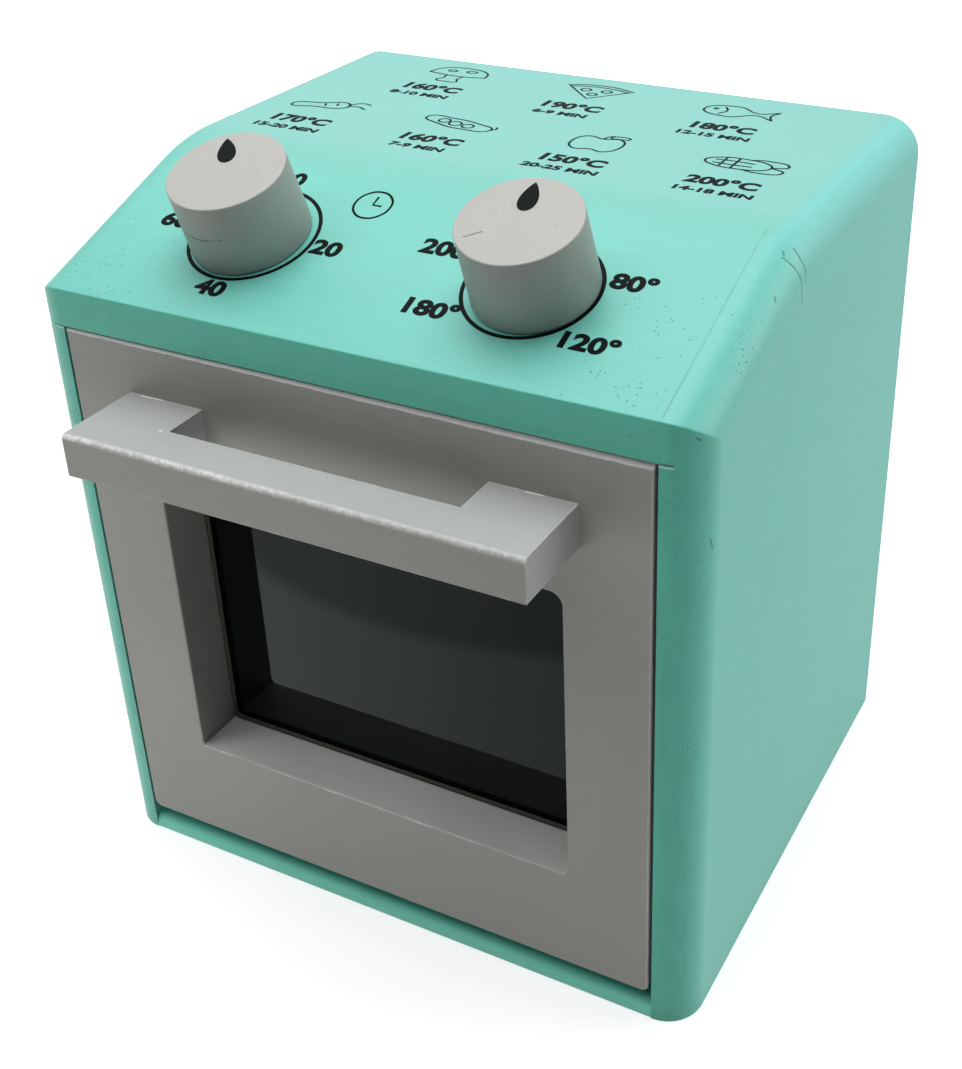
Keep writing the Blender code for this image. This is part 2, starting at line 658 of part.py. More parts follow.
def make_dial(name, x):
    """One dial: knob and axle above, felt washer, retaining disc and screw inside."""
    place = slope_frame(x)
    carrier = add_empty(name + "_dial", place)
    add_piece(name + "_knob", turned_mesh(name + "_knob", knob_profile(), KNOB_STEPS),
              GREY_PAINT, place, carrier)
    washer_top = -TOP_THICKNESS - JOINT_GAP
    washer_foot = washer_top - WASHER_THICKNESS
    disc_top = washer_foot - JOINT_GAP
    disc_foot = disc_top - DISC_THICKNESS
    axle_top = KNOB_SOCKET_DEPTH
    hole = AXLE_RADIUS + AXLE_CLEARANCE
    bore = SCREW_SHANK_RADIUS + JOINT_GAP
    axle_mesh = cylinder_mesh(name + "_axle", AXLE_RADIUS, washer_foot, axle_top)
    axle = add_piece(name + "_axle", axle_mesh, BARE_BEECH, place, carrier)
    screw_seat = Matrix.Translation((0, 0, disc_foot - JOINT_GAP))
    screw_place = place @ screw_seat @ Matrix.Rotation(math.pi, 4, "X")
    socket = screw_hole_mesh(name + "_screw_socket", DIAL_SCREW_LENGTH + JOINT_GAP)
    cut(axle, add_cutter(name + "_screw_socket", socket, screw_place))
    felt = ring_profile(hole, WASHER_RADIUS, washer_foot, washer_top)
    add_piece(name + "_felt_washer", turned_mesh(name + "_felt", felt, PIN_STEPS), GREY_FELT, place)
    disc = ring_profile(bore, DISC_RADIUS, disc_foot, disc_top)
    add_piece(name + "_retaining_disc", turned_mesh(name + "_disc", disc, PIN_STEPS),
              BARE_BEECH, place, carrier)
    screw = turned_mesh(name + "_screw", screw_profile(DIAL_SCREW_LENGTH), SCREW_STEPS)
    add_piece(name + "_retaining_screw", screw, STEEL, screw_place, carrier)
    drill_foot = -TOP_THICKNESS - CUT_OVERRUN
    panel_hole = cylinder_mesh(name + "_panel_hole", hole, drill_foot, CUT_OVERRUN)
    cut(bpy.data.objects["control_panel"], add_cutter(name + "_panel_hole", panel_hole, place))


make_side_board("left_side_board", -1)
make_side_board("right_side_board", 1)
make_front_rail()
make_top_boards()
make_base_and_back()
make_catch()
make_hinge_pins()
make_door_panel()
make_handle()
make_window()
make_dial("timer", TIMER_X)
make_dial("temperature", TEMPERATURE_X)
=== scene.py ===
import json
import math

import bmesh
import bpy
from mathutils import Matrix, Vector


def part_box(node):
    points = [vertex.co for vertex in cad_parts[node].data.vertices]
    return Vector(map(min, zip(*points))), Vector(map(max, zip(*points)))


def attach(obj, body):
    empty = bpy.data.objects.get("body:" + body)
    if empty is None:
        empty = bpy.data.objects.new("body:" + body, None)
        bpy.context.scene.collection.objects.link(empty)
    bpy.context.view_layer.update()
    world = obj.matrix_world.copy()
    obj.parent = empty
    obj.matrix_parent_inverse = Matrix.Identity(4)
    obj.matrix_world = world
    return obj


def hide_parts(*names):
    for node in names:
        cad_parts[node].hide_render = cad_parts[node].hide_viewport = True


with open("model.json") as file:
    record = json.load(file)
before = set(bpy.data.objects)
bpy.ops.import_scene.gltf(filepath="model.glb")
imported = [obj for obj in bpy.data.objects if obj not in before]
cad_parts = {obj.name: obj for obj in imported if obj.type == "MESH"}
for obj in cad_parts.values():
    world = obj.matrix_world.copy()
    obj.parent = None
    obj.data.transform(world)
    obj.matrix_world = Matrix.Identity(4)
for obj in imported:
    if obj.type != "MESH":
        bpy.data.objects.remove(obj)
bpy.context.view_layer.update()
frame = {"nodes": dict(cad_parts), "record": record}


# Side boards
# Two 11 mm fibreboard panels, sawn to the cabinet's side shape. Their front, sloping and top
# edges are rounded off with a cutter nearly to the full thickness, then sprayed mint.

SIDE_LOW, SIDE_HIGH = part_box("right_side_board")
INNER_HALF = SIDE_LOW.x
HALF_WIDTH = SIDE_HIGH.x
FRONT_Y = SIDE_LOW.y
CABINET_DEPTH = SIDE_HIGH.y - SIDE_LOW.y
CABINET_HEIGHT = SIDE_HIGH.z
RAIL_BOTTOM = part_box("front_rail")[0].z
FRONT_HEIGHT = 0.1923
SLOPE_DEPTH = 0.066
SLOPE_ANGLE = math.atan2(CABINET_HEIGHT - FRONT_HEIGHT, SLOPE_DEPTH)
CREASE_RADIUS = 0.060
CREASE_STEPS = 10
EDGE_ROUND = 0.0110
EDGE_STEPS = 16
LIP_RADIUS = 0.0006
LIP_STEPS = 4
SUPPORT_INSET = 0.0004

MINT = (0.19, 0.73, 0.61)
# Painted light and shade: the next three mints are for faces that look up, for the deck and for
# faces that look forward.
MINT_PAINTED_TOP_LIGHT = (0.255, 0.765, 0.715)
MINT_PAINTED_DECK_LIGHT = (0.255, 0.670, 0.600)
MINT_PAINTED_FRONT_SHADE = (0.110, 0.62, 0.46)
MINT_PORE = (0.04, 0.22, 0.18)
# Painted highlight: the next mint is the pale line just below the lap's joint.
MINT_PAINTED_LAP_HIGHLIGHT = (0.55, 0.95, 0.86)
# Painted shade: the next mint darkens the gap faces beside the door.
MINT_PAINTED_GAP_SHADE = (0.015, 0.035, 0.03)
MINT_CLOUD = 0.07
MINT_RELIEF = 0.00012
DECK_TURN = 0.9
FRONT_STREAK = 0.45
PAINT_ROUGHNESS = 0.44
ROUGHNESS_SPREAD = 0.25
STREAK_CONTRAST = 0.34
CLOUD_SCALE = 26.0
PEEL_SCALE = 1300.0
PEEL_HEIGHT = 0.25
PORE_SCALE = 1400.0
PORE_FIELD_SCALE = 95.0
PORE_DARKNESS = 0.6
PORE_SINK = 1.6
PORE_FADE = 0.003
PORES_BELOW = 0.200
PORES_END = 0.211
SEAM_INSET = 0.0012
SEAM_WIDTH = 0.0006
SEAM_SHARE = 0.28
LAP_MARK_LENGTH = 0.0036
LAP_MARK_DEPTH = 0.002
LAP_MARK_WIDTH = 0.0004
LAP_HIGHLIGHT_DROP = 0.0006
JOINT_WANDER = 0.00025
JOINT_SINK = 2.5
# Painted shade in the gap beside the door: how far back it reaches and its strength at the left.
GAP_SHADE_DEPTH = 0.017
GAP_SHADE_LEFT = 0.45
SCORE_DARKNESS = 0.7
SCORE_SINK = 1.5
CRACK_WIDTH = 0.0003
CRACK_WANDER = 0.0004
CRACKS = (((-0.0107, 0.2112), (-0.0093, 0.2084), (-0.0081, 0.2054), (-0.0075, 0.2022),
           (-0.0063, 0.1976)),
          ((-0.0055, 0.2119), (-0.0056, 0.2098), (-0.0048, 0.2066), (-0.0044, 0.2041),
           (-0.0051, 0.2032)),
          ((-0.0090, 0.2121), (-0.0098, 0.2114)), ((-0.0210, 0.2053), (-0.0218, 0.2043)),
          ((-0.0660, 0.1884), (-0.0652, 0.1876)), ((-0.0620, 0.1600), (-0.0612, 0.1570)))


class Graph:
    """Adds nodes to one node tree; an input may be a number, a colour or another output."""

    def __init__(self, tree):
        self.tree = tree

    def plug(self, socket, value):
        if isinstance(value, bpy.types.NodeSocket):
            self.tree.links.new(value, socket)
        elif hasattr(value, "__len__") and len(value) == 3 and socket.type == "RGBA":
            socket.default_value = (*value, 1.0)
        else:
            socket.default_value = value

    def add(self, kind, inputs=None, output=0, **settings):
        node = self.tree.nodes.new(kind)
        for key, value in settings.items():
            setattr(node, key, value)
        for key, value in (inputs or {}).items():
            self.plug(node.inputs[key], value)
        return node.outputs[output]

    def math(self, operation, first, second=0.0, clamp=False):
        return self.add("ShaderNodeMath", {0: first, 1: second}, operation=operation,
                        use_clamp=clamp)

    def plus(self, first, second):
        return self.math("ADD", first, second)

    def minus(self, first, second):
        return self.math("SUBTRACT", first, second)

    def times(self, first, *others):
        for other in others:
            first = self.math("MULTIPLY", first, other)
        return first

    def most(self, first, *others):
        for other in others:
            first = self.math("MAXIMUM", first, other)
        return first

    def less(self, first, second):
        return self.math("LESS_THAN", first, second)

    def more(self, first, second):
        return self.math("GREATER_THAN", first, second)

    def vector(self, operation, first, second=(0, 0, 0), output="Vector"):
        return self.add("ShaderNodeVectorMath", {0: first, 1: second}, output,
                        operation=operation)

    def scaled(self, vector, factor):
        return self.add("ShaderNodeVectorMath", {0: vector, "Scale": factor}, operation="SCALE")

    def axes(self, vector):
        return [self.add("ShaderNodeSeparateXYZ", {"Vector": vector}, axis) for axis in "XYZ"]

    def noise(self, vector, scale, detail=2.0, roughness=0.5, distortion=0.0, output=0):
        return self.add("ShaderNodeTexNoise",
                        {"Vector": vector, "Scale": scale, "Detail": detail,
                         "Roughness": roughness, "Distortion": distortion}, output)

    def ramp(self, value, low, high, start=0.0, end=1.0):
        return self.add("ShaderNodeMapRange",
                        {"Value": value, "From Min": low, "From Max": high,
                         "To Min": start, "To Max": end}, interpolation_type="SMOOTHSTEP")

    def blend(self, amount, first, second):
        node = self.add("ShaderNodeMix", data_type="RGBA").node
        values = {"Factor": amount, "A": first, "B": second}
        for socket in node.inputs:
            if socket.enabled:
                self.plug(socket, values[socket.name])
        return next(socket for socket in node.outputs if socket.enabled)


def new_group(name, build, inputs, outputs):
    """A shader node group; build takes its graph and inputs, and gives back its outputs."""
    tree = bpy.data.node_groups.new(name, "ShaderNodeTree")
    for side, sockets in (("INPUT", inputs), ("OUTPUT", outputs)):
        for label, kind in sockets.items():
            tree.interface.new_socket(label, in_out=side, socket_type="NodeSocket" + kind)
    g = Graph(tree)
    given = tree.nodes.new("NodeGroupInput").outputs
    result = tree.nodes.new("NodeGroupOutput").inputs
    for label, value in zip(outputs, build(g, *[given[label] for label in inputs])):
        g.plug(result[label], value)
    return tree


def paint_film(g, place, colour, pore_colour, stretch, clouds, streaks, pores):
    """Sprayed and rolled paint: cloudy colour, fine streaks, orange peel and sunken pores."""
    cloud = g.minus(g.noise(place, CLOUD_SCALE, detail=3.0), 0.5)
    streak = g.noise(g.vector("MULTIPLY", place, stretch), 1.0, detail=4.0, roughness=0.65)
    uneven = g.minus(streak, 0.5)
    spots = g.add("ShaderNodeTexVoronoi", {"Vector": place, "Scale": PORE_SCALE}).node.outputs
    random = g.add("ShaderNodeSeparateColor", {"Color": spots["Color"]}, "Red")
    field = g.ramp(g.noise(place, PORE_FIELD_SCALE, detail=3.0), 0.45, 0.66)
    chosen = g.less(random, g.times(pores, field))
    pore = g.times(g.ramp(spots["Distance"], 0.36, 0.14), chosen)
    shade = g.plus(1.0, g.times(cloud, clouds))
    tone = g.plus(shade, g.times(uneven, g.times(streaks, STREAK_CONTRAST)))
    peel = g.times(g.noise(place, PEEL_SCALE), PEEL_HEIGHT)
    relief = g.plus(peel, g.times(streak, streaks))
    return (g.blend(g.times(pore, PORE_DARKNESS), g.scaled(colour, tone), pore_colour),
            g.plus(PAINT_ROUGHNESS, g.times(uneven, ROUGHNESS_SPREAD)),
            g.minus(relief, g.times(pore, PORE_SINK)))


def joint_line(g, place, across, at, width, along, start, stop):
    """A filled joint that shows as a hairline: how near a plane is to one value."""
    wander = g.times(g.minus(g.noise(place, scale=160.0), 0.5), JOINT_WANDER)
    off = g.math("ABSOLUTE", g.plus(g.minus(across, at), wander))
    line = g.ramp(g.math("DIVIDE", off, width), 1.0, 0.4)
    inside = g.times(g.more(along, start), g.less(along, stop))
    faint = g.ramp(g.noise(place, scale=90.0), 0.30, 0.62, start=0.25)
    return [g.times(line, inside, faint)]


def hairline(g, place, start, end, width, wander):
    """A scratch or crack between two points, which wanders a little."""
    bend = g.noise(place, scale=85.0, detail=3.0, output="Color")
    shift = g.scaled(g.vector("SUBTRACT", bend, (0.5, 0.5, 0.5)), wander)
    here = g.vector("SUBTRACT", g.vector("ADD", place, shift), start)
    run = g.vector("SUBTRACT", end, start)
    share = g.math("DIVIDE", g.vector("DOT_PRODUCT", here, run, "Value"),
                   g.vector("DOT_PRODUCT", run, run, "Value"), clamp=True)
    off = g.vector("LENGTH", g.vector("SUBTRACT", here, g.scaled(run, share)), output="Value")
    return [g.ramp(g.math("DIVIDE", off, width), 1.0, 0.35)]


PAINT_FILM = new_group("paint_film", paint_film,
                       {"Position": "Vector", "Colour": "Color", "Pore Colour": "Color",
                        "Stretch": "Vector", "Cloud": "Float", "Streak": "Float",
                        "Pores": "Float"},
                       {"Colour": "Color", "Roughness": "Float", "Height": "Float"})
JOINT_LINE = new_group("joint_line", joint_line,
                       {"Position": "Vector", "Across": "Float", "Place": "Float",
                        "Width": "Float", "Along": "Float", "From": "Float", "To": "Float"},
                       {"Mask": "Float"})
HAIRLINE = new_group("hairline", hairline,
                     {"Position": "Vector", "Start": "Vector", "End": "Vector",
                      "Width": "Float", "Wander": "Float"}, {"Mask": "Float"})


def new_material(name, **constants):
    """A material and its graph; the plain sockets of its shader are set by name."""
    made = bpy.data.materials.new(name)
    made.use_nodes = True
    shader = made.node_tree.nodes["Principled BSDF"]
    for label, value in constants.items():
        shader.inputs[label.replace("_", " ")].default_value = value
    return made, Graph(made.node_tree)


def surface(made, colour, roughness, height, depth):
    """Gives a material its colour and roughness, and a relief of this depth."""
    g = Graph(made.node_tree)
    relief = g.add("ShaderNodeBump", {"Height": height, "Distance": depth, "Strength": 1.0})
    sockets = made.node_tree.nodes["Principled BSDF"].inputs
    for label, value in (("Base Color", colour), ("Roughness", roughness), ("Normal", relief)):
        g.plug(sockets[label], value)
    return made


def use_group(g, tree, **inputs):
    """Places a node group; spaces in its socket names are given as underscores."""
    node = g.tree.nodes.new("ShaderNodeGroup")
    node.node_tree = tree
    for label, value in inputs.items():
        g.plug(node.inputs[label.replace("_", " ")], value)
    return node.outputs


def object_place(g):
    return g.add("ShaderNodeTexCoord", output="Object")


def facing(g, axis):
    """How far a face looks along one axis of its own piece."""
    normal = g.add("ShaderNodeTexCoord", output="Normal")
    return g.add("ShaderNodeSeparateXYZ", {"Vector": normal}, axis)


def scored(g, mark, colour, height, dirt):
    """Colour and height with a crack or scratch cut into them, which holds dirt."""
    dirty = g.blend(g.times(mark, SCORE_DARKNESS), colour, dirt)
    return dirty, g.minus(height, g.times(mark, SCORE_SINK))


def board_marks(g, place, colour, height):
    """The seam, the lap with a painted highlight just below its joint, and the right board's
    cracks.
    """
    x, y, z = g.axes(place)
    seam = use_group(g, JOINT_LINE, Across=x, Place=INNER_HALF, Width=SEAM_WIDTH,
                     Position=place, Along=y, From=FRONT_Y + SEAM_INSET,
                     To=FRONT_Y + SLOPE_DEPTH)["Mask"]
    front = g.less(y, FRONT_Y + LAP_MARK_DEPTH)
    laps = []
    for drop in (0.0, LAP_HIGHLIGHT_DROP):
        lap = use_group(g, JOINT_LINE, Across=z, Place=RAIL_BOTTOM - drop, Width=LAP_MARK_WIDTH,
                        Position=place, Along=g.math("ABSOLUTE", x), From=INNER_HALF,
                        To=INNER_HALF + LAP_MARK_LENGTH)["Mask"]
        laps.append(g.times(lap, front))
    joint = g.most(g.times(seam, SEAM_SHARE), laps[0])
    colour = g.blend(laps[1], g.blend(joint, colour, MINT_PORE), MINT_PAINTED_LAP_HIGHLIGHT)
    height = g.minus(height, g.times(joint, JOINT_SINK))
    from_side = g.vector("MULTIPLY", place, (0, 1, 1))
    right = g.more(x, 0.0)
    for crack in CRACKS:
        for start, end in zip(crack, crack[1:]):
            line = use_group(g, HAIRLINE, Position=from_side, Start=(0, *start), End=(0, *end),
                             Width=CRACK_WIDTH, Wander=CRACK_WANDER)["Mask"]
            colour, height = scored(g, g.times(line, right), colour, height, MINT_PORE)
    return colour, height


def mint_material(name, stretch, streak, pores, pore_zone=(0.0, 0.1), joints=False, over=None):
    """Mint paint on board with painted light and shade: paler facing up, less so on the deck,
    deepest facing forward.

    The stretch makes its streaks run along the board, the pore zone is how far from the
    middle the pores begin and end, and over gives a colour of its own to one piece."""
    made, g = new_material(name, Specular_IOR_Level=0.5, Sheen_Weight=0.12, Sheen_Roughness=0.5)
    place = object_place(g)
    x, y, z = g.axes(place)
    beside = g.math("ABSOLUTE", x)
    inner, outer = pore_zone
    zone = g.times(g.ramp(beside, inner, inner + PORE_FADE),
                   g.ramp(beside, outer, outer - PORE_FADE), g.ramp(z, PORES_END, PORES_BELOW))
    forward = g.math("MULTIPLY", facing(g, "Y"), -1.0, clamp=True)
    upward = facing(g, "Z")
    # Painted light and shade: paler where a face looks up, less pale on the deck, deeper where it
    # looks forward.
    paint = g.blend(upward, MINT, MINT_PAINTED_TOP_LIGHT)
    paint = g.blend(g.ramp(upward, DECK_TURN, 1.0), paint, MINT_PAINTED_DECK_LIGHT)
    paint = over(g, y) if over else g.blend(forward, paint, MINT_PAINTED_FRONT_SHADE)
    film = use_group(g, PAINT_FILM, Position=place, Colour=paint, Pore_Colour=MINT_PORE,
                     Stretch=stretch, Cloud=MINT_CLOUD, Pores=g.times(zone, pores),
                     Streak=g.plus(streak, g.times(forward, FRONT_STREAK)))
    colour, height = film["Colour"], film["Height"]
    if joints:
        colour, height = board_marks(g, place, colour, height)
    # Painted shade: faces that look inward or down beside the door are painted nearly black, less
    # so at the left.
    inward = g.less(g.times(x, facing(g, "X")), -INNER_HALF / 2)
    downward = g.less(facing(g, "Z"), -0.5)
    beside_door = g.less(y, FRONT_Y + GAP_SHADE_DEPTH)
    gap_shade = g.times(g.most(inward, downward), beside_door,
                    g.ramp(x, -INNER_HALF, INNER_HALF, start=GAP_SHADE_LEFT))
    return surface(made, g.blend(gap_shade, colour, MINT_PAINTED_GAP_SHADE), film["Roughness"], height,
                   MINT_RELIEF)


def arc(centre, radius, start, end, steps):
    """Points on an arc, from the start angle to the end angle, both in degrees."""
    turns = [math.radians(start + (end - start) * step / steps) for step in range(steps + 1)]
    return [(centre[0] + radius * math.cos(t), centre[1] + radius * math.sin(t)) for t in turns]


def slope_height(y, inset=0.0):
    """Height of the sloping surface at y behind the front face, moved inwards by the inset."""
    return FRONT_HEIGHT + y * math.tan(SLOPE_ANGLE) - inset / math.cos(SLOPE_ANGLE)


def top_line(inset):
    """The lip, the slope, the round crease and the deck's front, moved inwards."""
    turn = math.degrees(SLOPE_ANGLE)
    lip_y = inset + LIP_RADIUS
    lip = arc((lip_y, slope_height(lip_y, lip_y)), LIP_RADIUS, 180, 90 + turn, LIP_STEPS)
    run = CREASE_RADIUS * math.tan(SLOPE_ANGLE / 2)
    centre = (SLOPE_DEPTH + run, CABINET_HEIGHT - CREASE_RADIUS)
    return lip + arc(centre, CREASE_RADIUS - inset, 90 + turn, 90, CREASE_STEPS)


def side_outline(inset):
    """A side board's outline, its front and top edges moved inwards by the inset."""
    back = [(CABINET_DEPTH, CABINET_HEIGHT - inset), (CABINET_DEPTH, 0)]
    return [(inset, 0)] + top_line(inset) + back


def finish_mesh(work, name, sharp=30.0):
    """Turns the working mesh into a smooth-shaded one, with its faces pointing out."""
    bmesh.ops.recalc_face_normals(work, faces=work.faces)
    mesh = bpy.data.meshes.new(name)
    work.to_mesh(mesh)
    work.free()
    mesh.shade_smooth()
    mesh.set_sharp_from_angle(angle=math.radians(sharp))
    return mesh


def lofted(name, rings, sharp=30.0):
    """A closed solid through rings of points, with a face across each end."""
    work = bmesh.new()
    made = [[work.verts.new(point) for point in ring] for ring in rings]
    for near, far in zip(made, made[1:]):
        for i in range(len(near)):
            j = (i + 1) % len(near)
            work.faces.new((near[i], near[j], far[j], far[i]))
    work.faces.new(made[0])
    work.faces.new(made[-1])
    return finish_mesh(work, name, sharp)


def put_in_scene(name, data):
    """A new object in the scene that shows this mesh, curve, lamp or camera."""
    thing = bpy.data.objects.new(name, data)
    bpy.context.scene.collection.objects.link(thing)
    return thing


def add_piece(name, mesh, material, body, replaced=(), matrix=None):
    """Puts a piece in the scene, on its CAD body, in place of the nodes that it stands for."""
    mesh.materials.clear()
    mesh.materials.append(material)
    piece = put_in_scene(name, mesh)
    if matrix:
        piece.matrix_world = matrix
        bpy.context.view_layer.update()
    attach(piece, body)
    if replaced:
        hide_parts(*replaced)
    return piece


def even_normals(piece):
    """Lets the large flat faces keep their own normals beside small rounded ones."""
    weighted = piece.modifiers.new("even_normals", "WEIGHTED_NORMAL")
    weighted.keep_sharp = True
    weighted.weight = 100


side_paint = mint_material("mint_side_paint", stretch=(380, 380, 60), streak=0.35, pores=0.5,
                           pore_zone=(INNER_HALF - PORE_FADE, HALF_WIDTH), joints=True)

edge = arc((HALF_WIDTH - EDGE_ROUND, EDGE_ROUND), EDGE_ROUND, 270, 360, EDGE_STEPS)
stations = [(INNER_HALF, 0.0)] + edge + [(HALF_WIDTH, EDGE_ROUND + SUPPORT_INSET)]
for side_name, side in (("left", -1), ("right", 1)):
    rings = [[(side * x, FRONT_Y + y, z) for y, z in side_outline(inset)]
             for x, inset in stations]
    add_piece(f"{side_name}_side_panel", lofted("side_panel", rings, sharp=20.0), side_paint,
              "cabinet", [f"{side_name}_side_board"])


# Top
# The front rail, the sloping control panel and the deck, glued up between the side boards,
# filled and sanded flush, and sprayed with them. The two axle holes are drilled through.

TOP_THICKNESS = 0.009
LAP_DEPTH = 0.014
AXLE_HOLE_RADIUS = 0.0044
DIAL_UP_SLOPE = 0.0333
HOLE_STEPS = 32
TOP_PORES_SHARE = 0.7


def slope_frame(x, up_slope, lift=0.0):
    """On the slope: local X to the right, local Y up the slope, local Z out of it."""
    y = up_slope * math.cos(SLOPE_ANGLE)
    rise = Vector((0, math.cos(SLOPE_ANGLE), math.sin(SLOPE_ANGLE)))
    out = Vector((0, -math.sin(SLOPE_ANGLE), math.cos(SLOPE_ANGLE)))
    turn = Matrix((Vector((1, 0, 0)), rise, out)).transposed().to_4x4()
    return Matrix.Translation(Vector((x, FRONT_Y + y, slope_height(y))) + out * lift) @ turn


def dial_x(node):
    low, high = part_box(node)
    return (low.x + high.x) / 2


def shown_mesh(thing):
    """The mesh that a curve, a text or a piece with modifiers shows."""
    bpy.context.view_layer.update()
    seen = thing.evaluated_get(bpy.context.evaluated_depsgraph_get())
    return bpy.data.meshes.new_from_object(seen)


def drill_hole(piece, name, place):
    """Drills an axle's hole through a piece, along the place's local Z."""
    work = bmesh.new()
    bmesh.ops.create_cone(work, cap_ends=True, segments=HOLE_STEPS, radius1=AXLE_HOLE_RADIUS,
                          radius2=AXLE_HOLE_RADIUS, depth=4 * TOP_THICKNESS)
    bit = bpy.data.meshes.new(name)
    work.to_mesh(bit)
    work.free()
    tool = put_in_scene(name, bit)
    tool.matrix_world = place
    hole = piece.modifiers.new(name, "BOOLEAN")
    hole.operation = "DIFFERENCE"
    hole.solver = "EXACT"
    hole.object = tool
    bored = shown_mesh(piece)
    piece.modifiers.remove(hole)
    piece.data = bored
    bpy.data.objects.remove(tool, do_unlink=True)


top_paint = mint_material("mint_top_paint", stretch=(60, 420, 420), streak=0.25, pores=0.16,
                          pore_zone=(TOP_PORES_SHARE * INNER_HALF, CABINET_DEPTH))
under = [(y, z - TOP_THICKNESS) for y, z in reversed(top_line(0.0)[LIP_STEPS + 1:])]
profile = [(0, RAIL_BOTTOM)] + top_line(0.0) + [(CABINET_DEPTH, CABINET_HEIGHT)]
profile += [(CABINET_DEPTH, CABINET_HEIGHT - TOP_THICKNESS)] + under
profile += [(LAP_DEPTH, slope_height(LAP_DEPTH, TOP_THICKNESS)), (LAP_DEPTH, RAIL_BOTTOM)]
rings = [[(x, FRONT_Y + y, z) for y, z in profile] for x in (-INNER_HALF, INNER_HALF)]
top = add_piece("top_panel", lofted("top_panel", rings), top_paint, "cabinet",
                ["front_rail", "control_panel", "top_deck"])
for dial in ("timer", "temperature"):
    drill_hole(top, dial + "_hole", slope_frame(dial_x(dial + "_knob"), DIAL_UP_SLOPE))


# Base
# A thin board between the side boards, its front edge rounded over and set flush with them,
# and the back board and stop cleats, which keep their own shapes and only take the paint.

BASE_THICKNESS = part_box("base_board")[1].z
BASE_NOSE_RADIUS = 0.0055
BASE_FOOT_RADIUS = 0.0005
NOSE_STEPS = 10
# Painted light and shade on the base: a pale lip and a deep band in the door's shade.
MINT_PAINTED_LIP_LIGHT = (0.28, 0.97, 0.77)
MINT_PAINTED_DOOR_SHADE = (0.05, 0.47, 0.35)
LIP_PALE_DEPTH = 0.0005
LIP_SHADED_DEPTH = 0.0027


def lit_and_shaded_lip(g, y):
    """Mint painted pale along the base's lip where light catches it, and painted deep where the
    door shades it.
    """
    shaded = g.ramp(y, FRONT_Y + LIP_PALE_DEPTH, FRONT_Y + LIP_SHADED_DEPTH)
    return g.blend(shaded, MINT_PAINTED_LIP_LIGHT, MINT_PAINTED_DOOR_SHADE)


def finish_node(node, material):
    """Gives its material to a CAD node that keeps its own shape."""
    for part_slot in frame["nodes"][node].material_slots:
        part_slot.material = material


base_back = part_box("base_board")[1].y - FRONT_Y
nose = arc((BASE_NOSE_RADIUS, BASE_THICKNESS - BASE_NOSE_RADIUS), BASE_NOSE_RADIUS, 90, 180,
           NOSE_STEPS)
foot = arc((BASE_FOOT_RADIUS, BASE_FOOT_RADIUS), BASE_FOOT_RADIUS, 180, 270, LIP_STEPS)
profile = [(base_back, 0), (base_back, BASE_THICKNESS)] + nose + foot
rings = [[(x, FRONT_Y + y, z) for y, z in profile] for x in (-INNER_HALF, INNER_HALF)]
base_paint = mint_material("mint_base_paint", stretch=(60, 400, 400), streak=0.3, pores=0.05,
                           over=lit_and_shaded_lip)
base = add_piece("base_panel", lofted("base_panel", rings), base_paint, "cabinet",
                 ["base_board"])
even_normals(base)
for node in ("back_board", "stop_cleat_left", "stop_cleat_right"):
    finish_node(node, side_paint)


# Small hardware inside
# Zinc-plated pins, discs and pan-head screws, nickel-plated magnets, turned beech axles and
# pressed felt washers. They keep the shapes of their CAD nodes.

STEEL = (0.62, 0.62, 0.60)
NICKEL = (0.52, 0.51, 0.49)
PLATING_DULL = (0.35, 0.35, 0.34)
PLATING_RELIEF = 0.00002
BEECH = (0.55, 0.37, 0.20)
BEECH_DARK = (0.36, 0.21, 0.10)
BEECH_RELIEF = 0.00005
FELT = (0.10, 0.10, 0.10)
FELT_PALE = (0.2, 0.2, 0.19)
FELT_RELIEF = 0.0003


def metal_material(name, colour, roughness):
    """Plated steel, with a faint cloudy sheen and fine handling scratches."""
    made, g = new_material(name, Metallic=1.0)
    place = object_place(g)
    cloud = g.noise(place, scale=300.0, detail=4.0)
    scratches = g.noise(g.vector("MULTIPLY", place, (2500, 300, 300)), scale=1.0)
    return surface(made, g.blend(g.ramp(cloud, 0.3, 0.7, end=0.25), colour, PLATING_DULL),
                   g.ramp(cloud, 0.3, 0.7, start=roughness, end=roughness + 0.18), scratches,
                   PLATING_RELIEF)


def beech_material():
    """Bare beech: fine darker flecks along the grain."""
    made, g = new_material("bare_beech", Specular_IOR_Level=0.3)
    along = g.vector("MULTIPLY", object_place(g), (900, 900, 90))
    grain = g.noise(along, scale=1.0, detail=3.0)
    return surface(made, g.blend(g.ramp(grain, 0.45, 0.75), BEECH, BEECH_DARK),
                   g.ramp(grain, 0.3, 0.7, start=0.5, end=0.7), grain, BEECH_RELIEF)


def felt_material():
    """Pressed felt: short tangled fibres."""
    made, g = new_material("pressed_felt", Sheen_Weight=0.4)
    fibre = g.noise(object_place(g), scale=1800.0, detail=5.0, roughness=0.7, distortion=1.5)
    return surface(made, g.blend(fibre, FELT, FELT_PALE),
                   g.ramp(fibre, 0.2, 0.8, start=0.85), fibre, FELT_RELIEF)


hardware = {"zinc_steel": metal_material("zinc_plating", STEEL, roughness=0.3),
            "magnet_nickel": metal_material("nickel_plating", NICKEL, roughness=0.18),
            "bare_beech": beech_material(), "grey_felt": felt_material()}
for subpart in frame["record"]["subparts"]:
    if subpart["material_slot"] in hardware:
        finish_node(subpart["node"], hardware[subpart["material_slot"]])


# Door
# One 16 mm board with the window sawn out of it, its edges eased by hand and sprayed warm
# grey, painted paler as light where faces look up or right and darker as shade on the
# window's sides. The paint has rubbed through to the pale primer along the top edge, which
# also carries a painted highlight; the right edge has a painted highlight and the window's
# sill is painted paler as light.

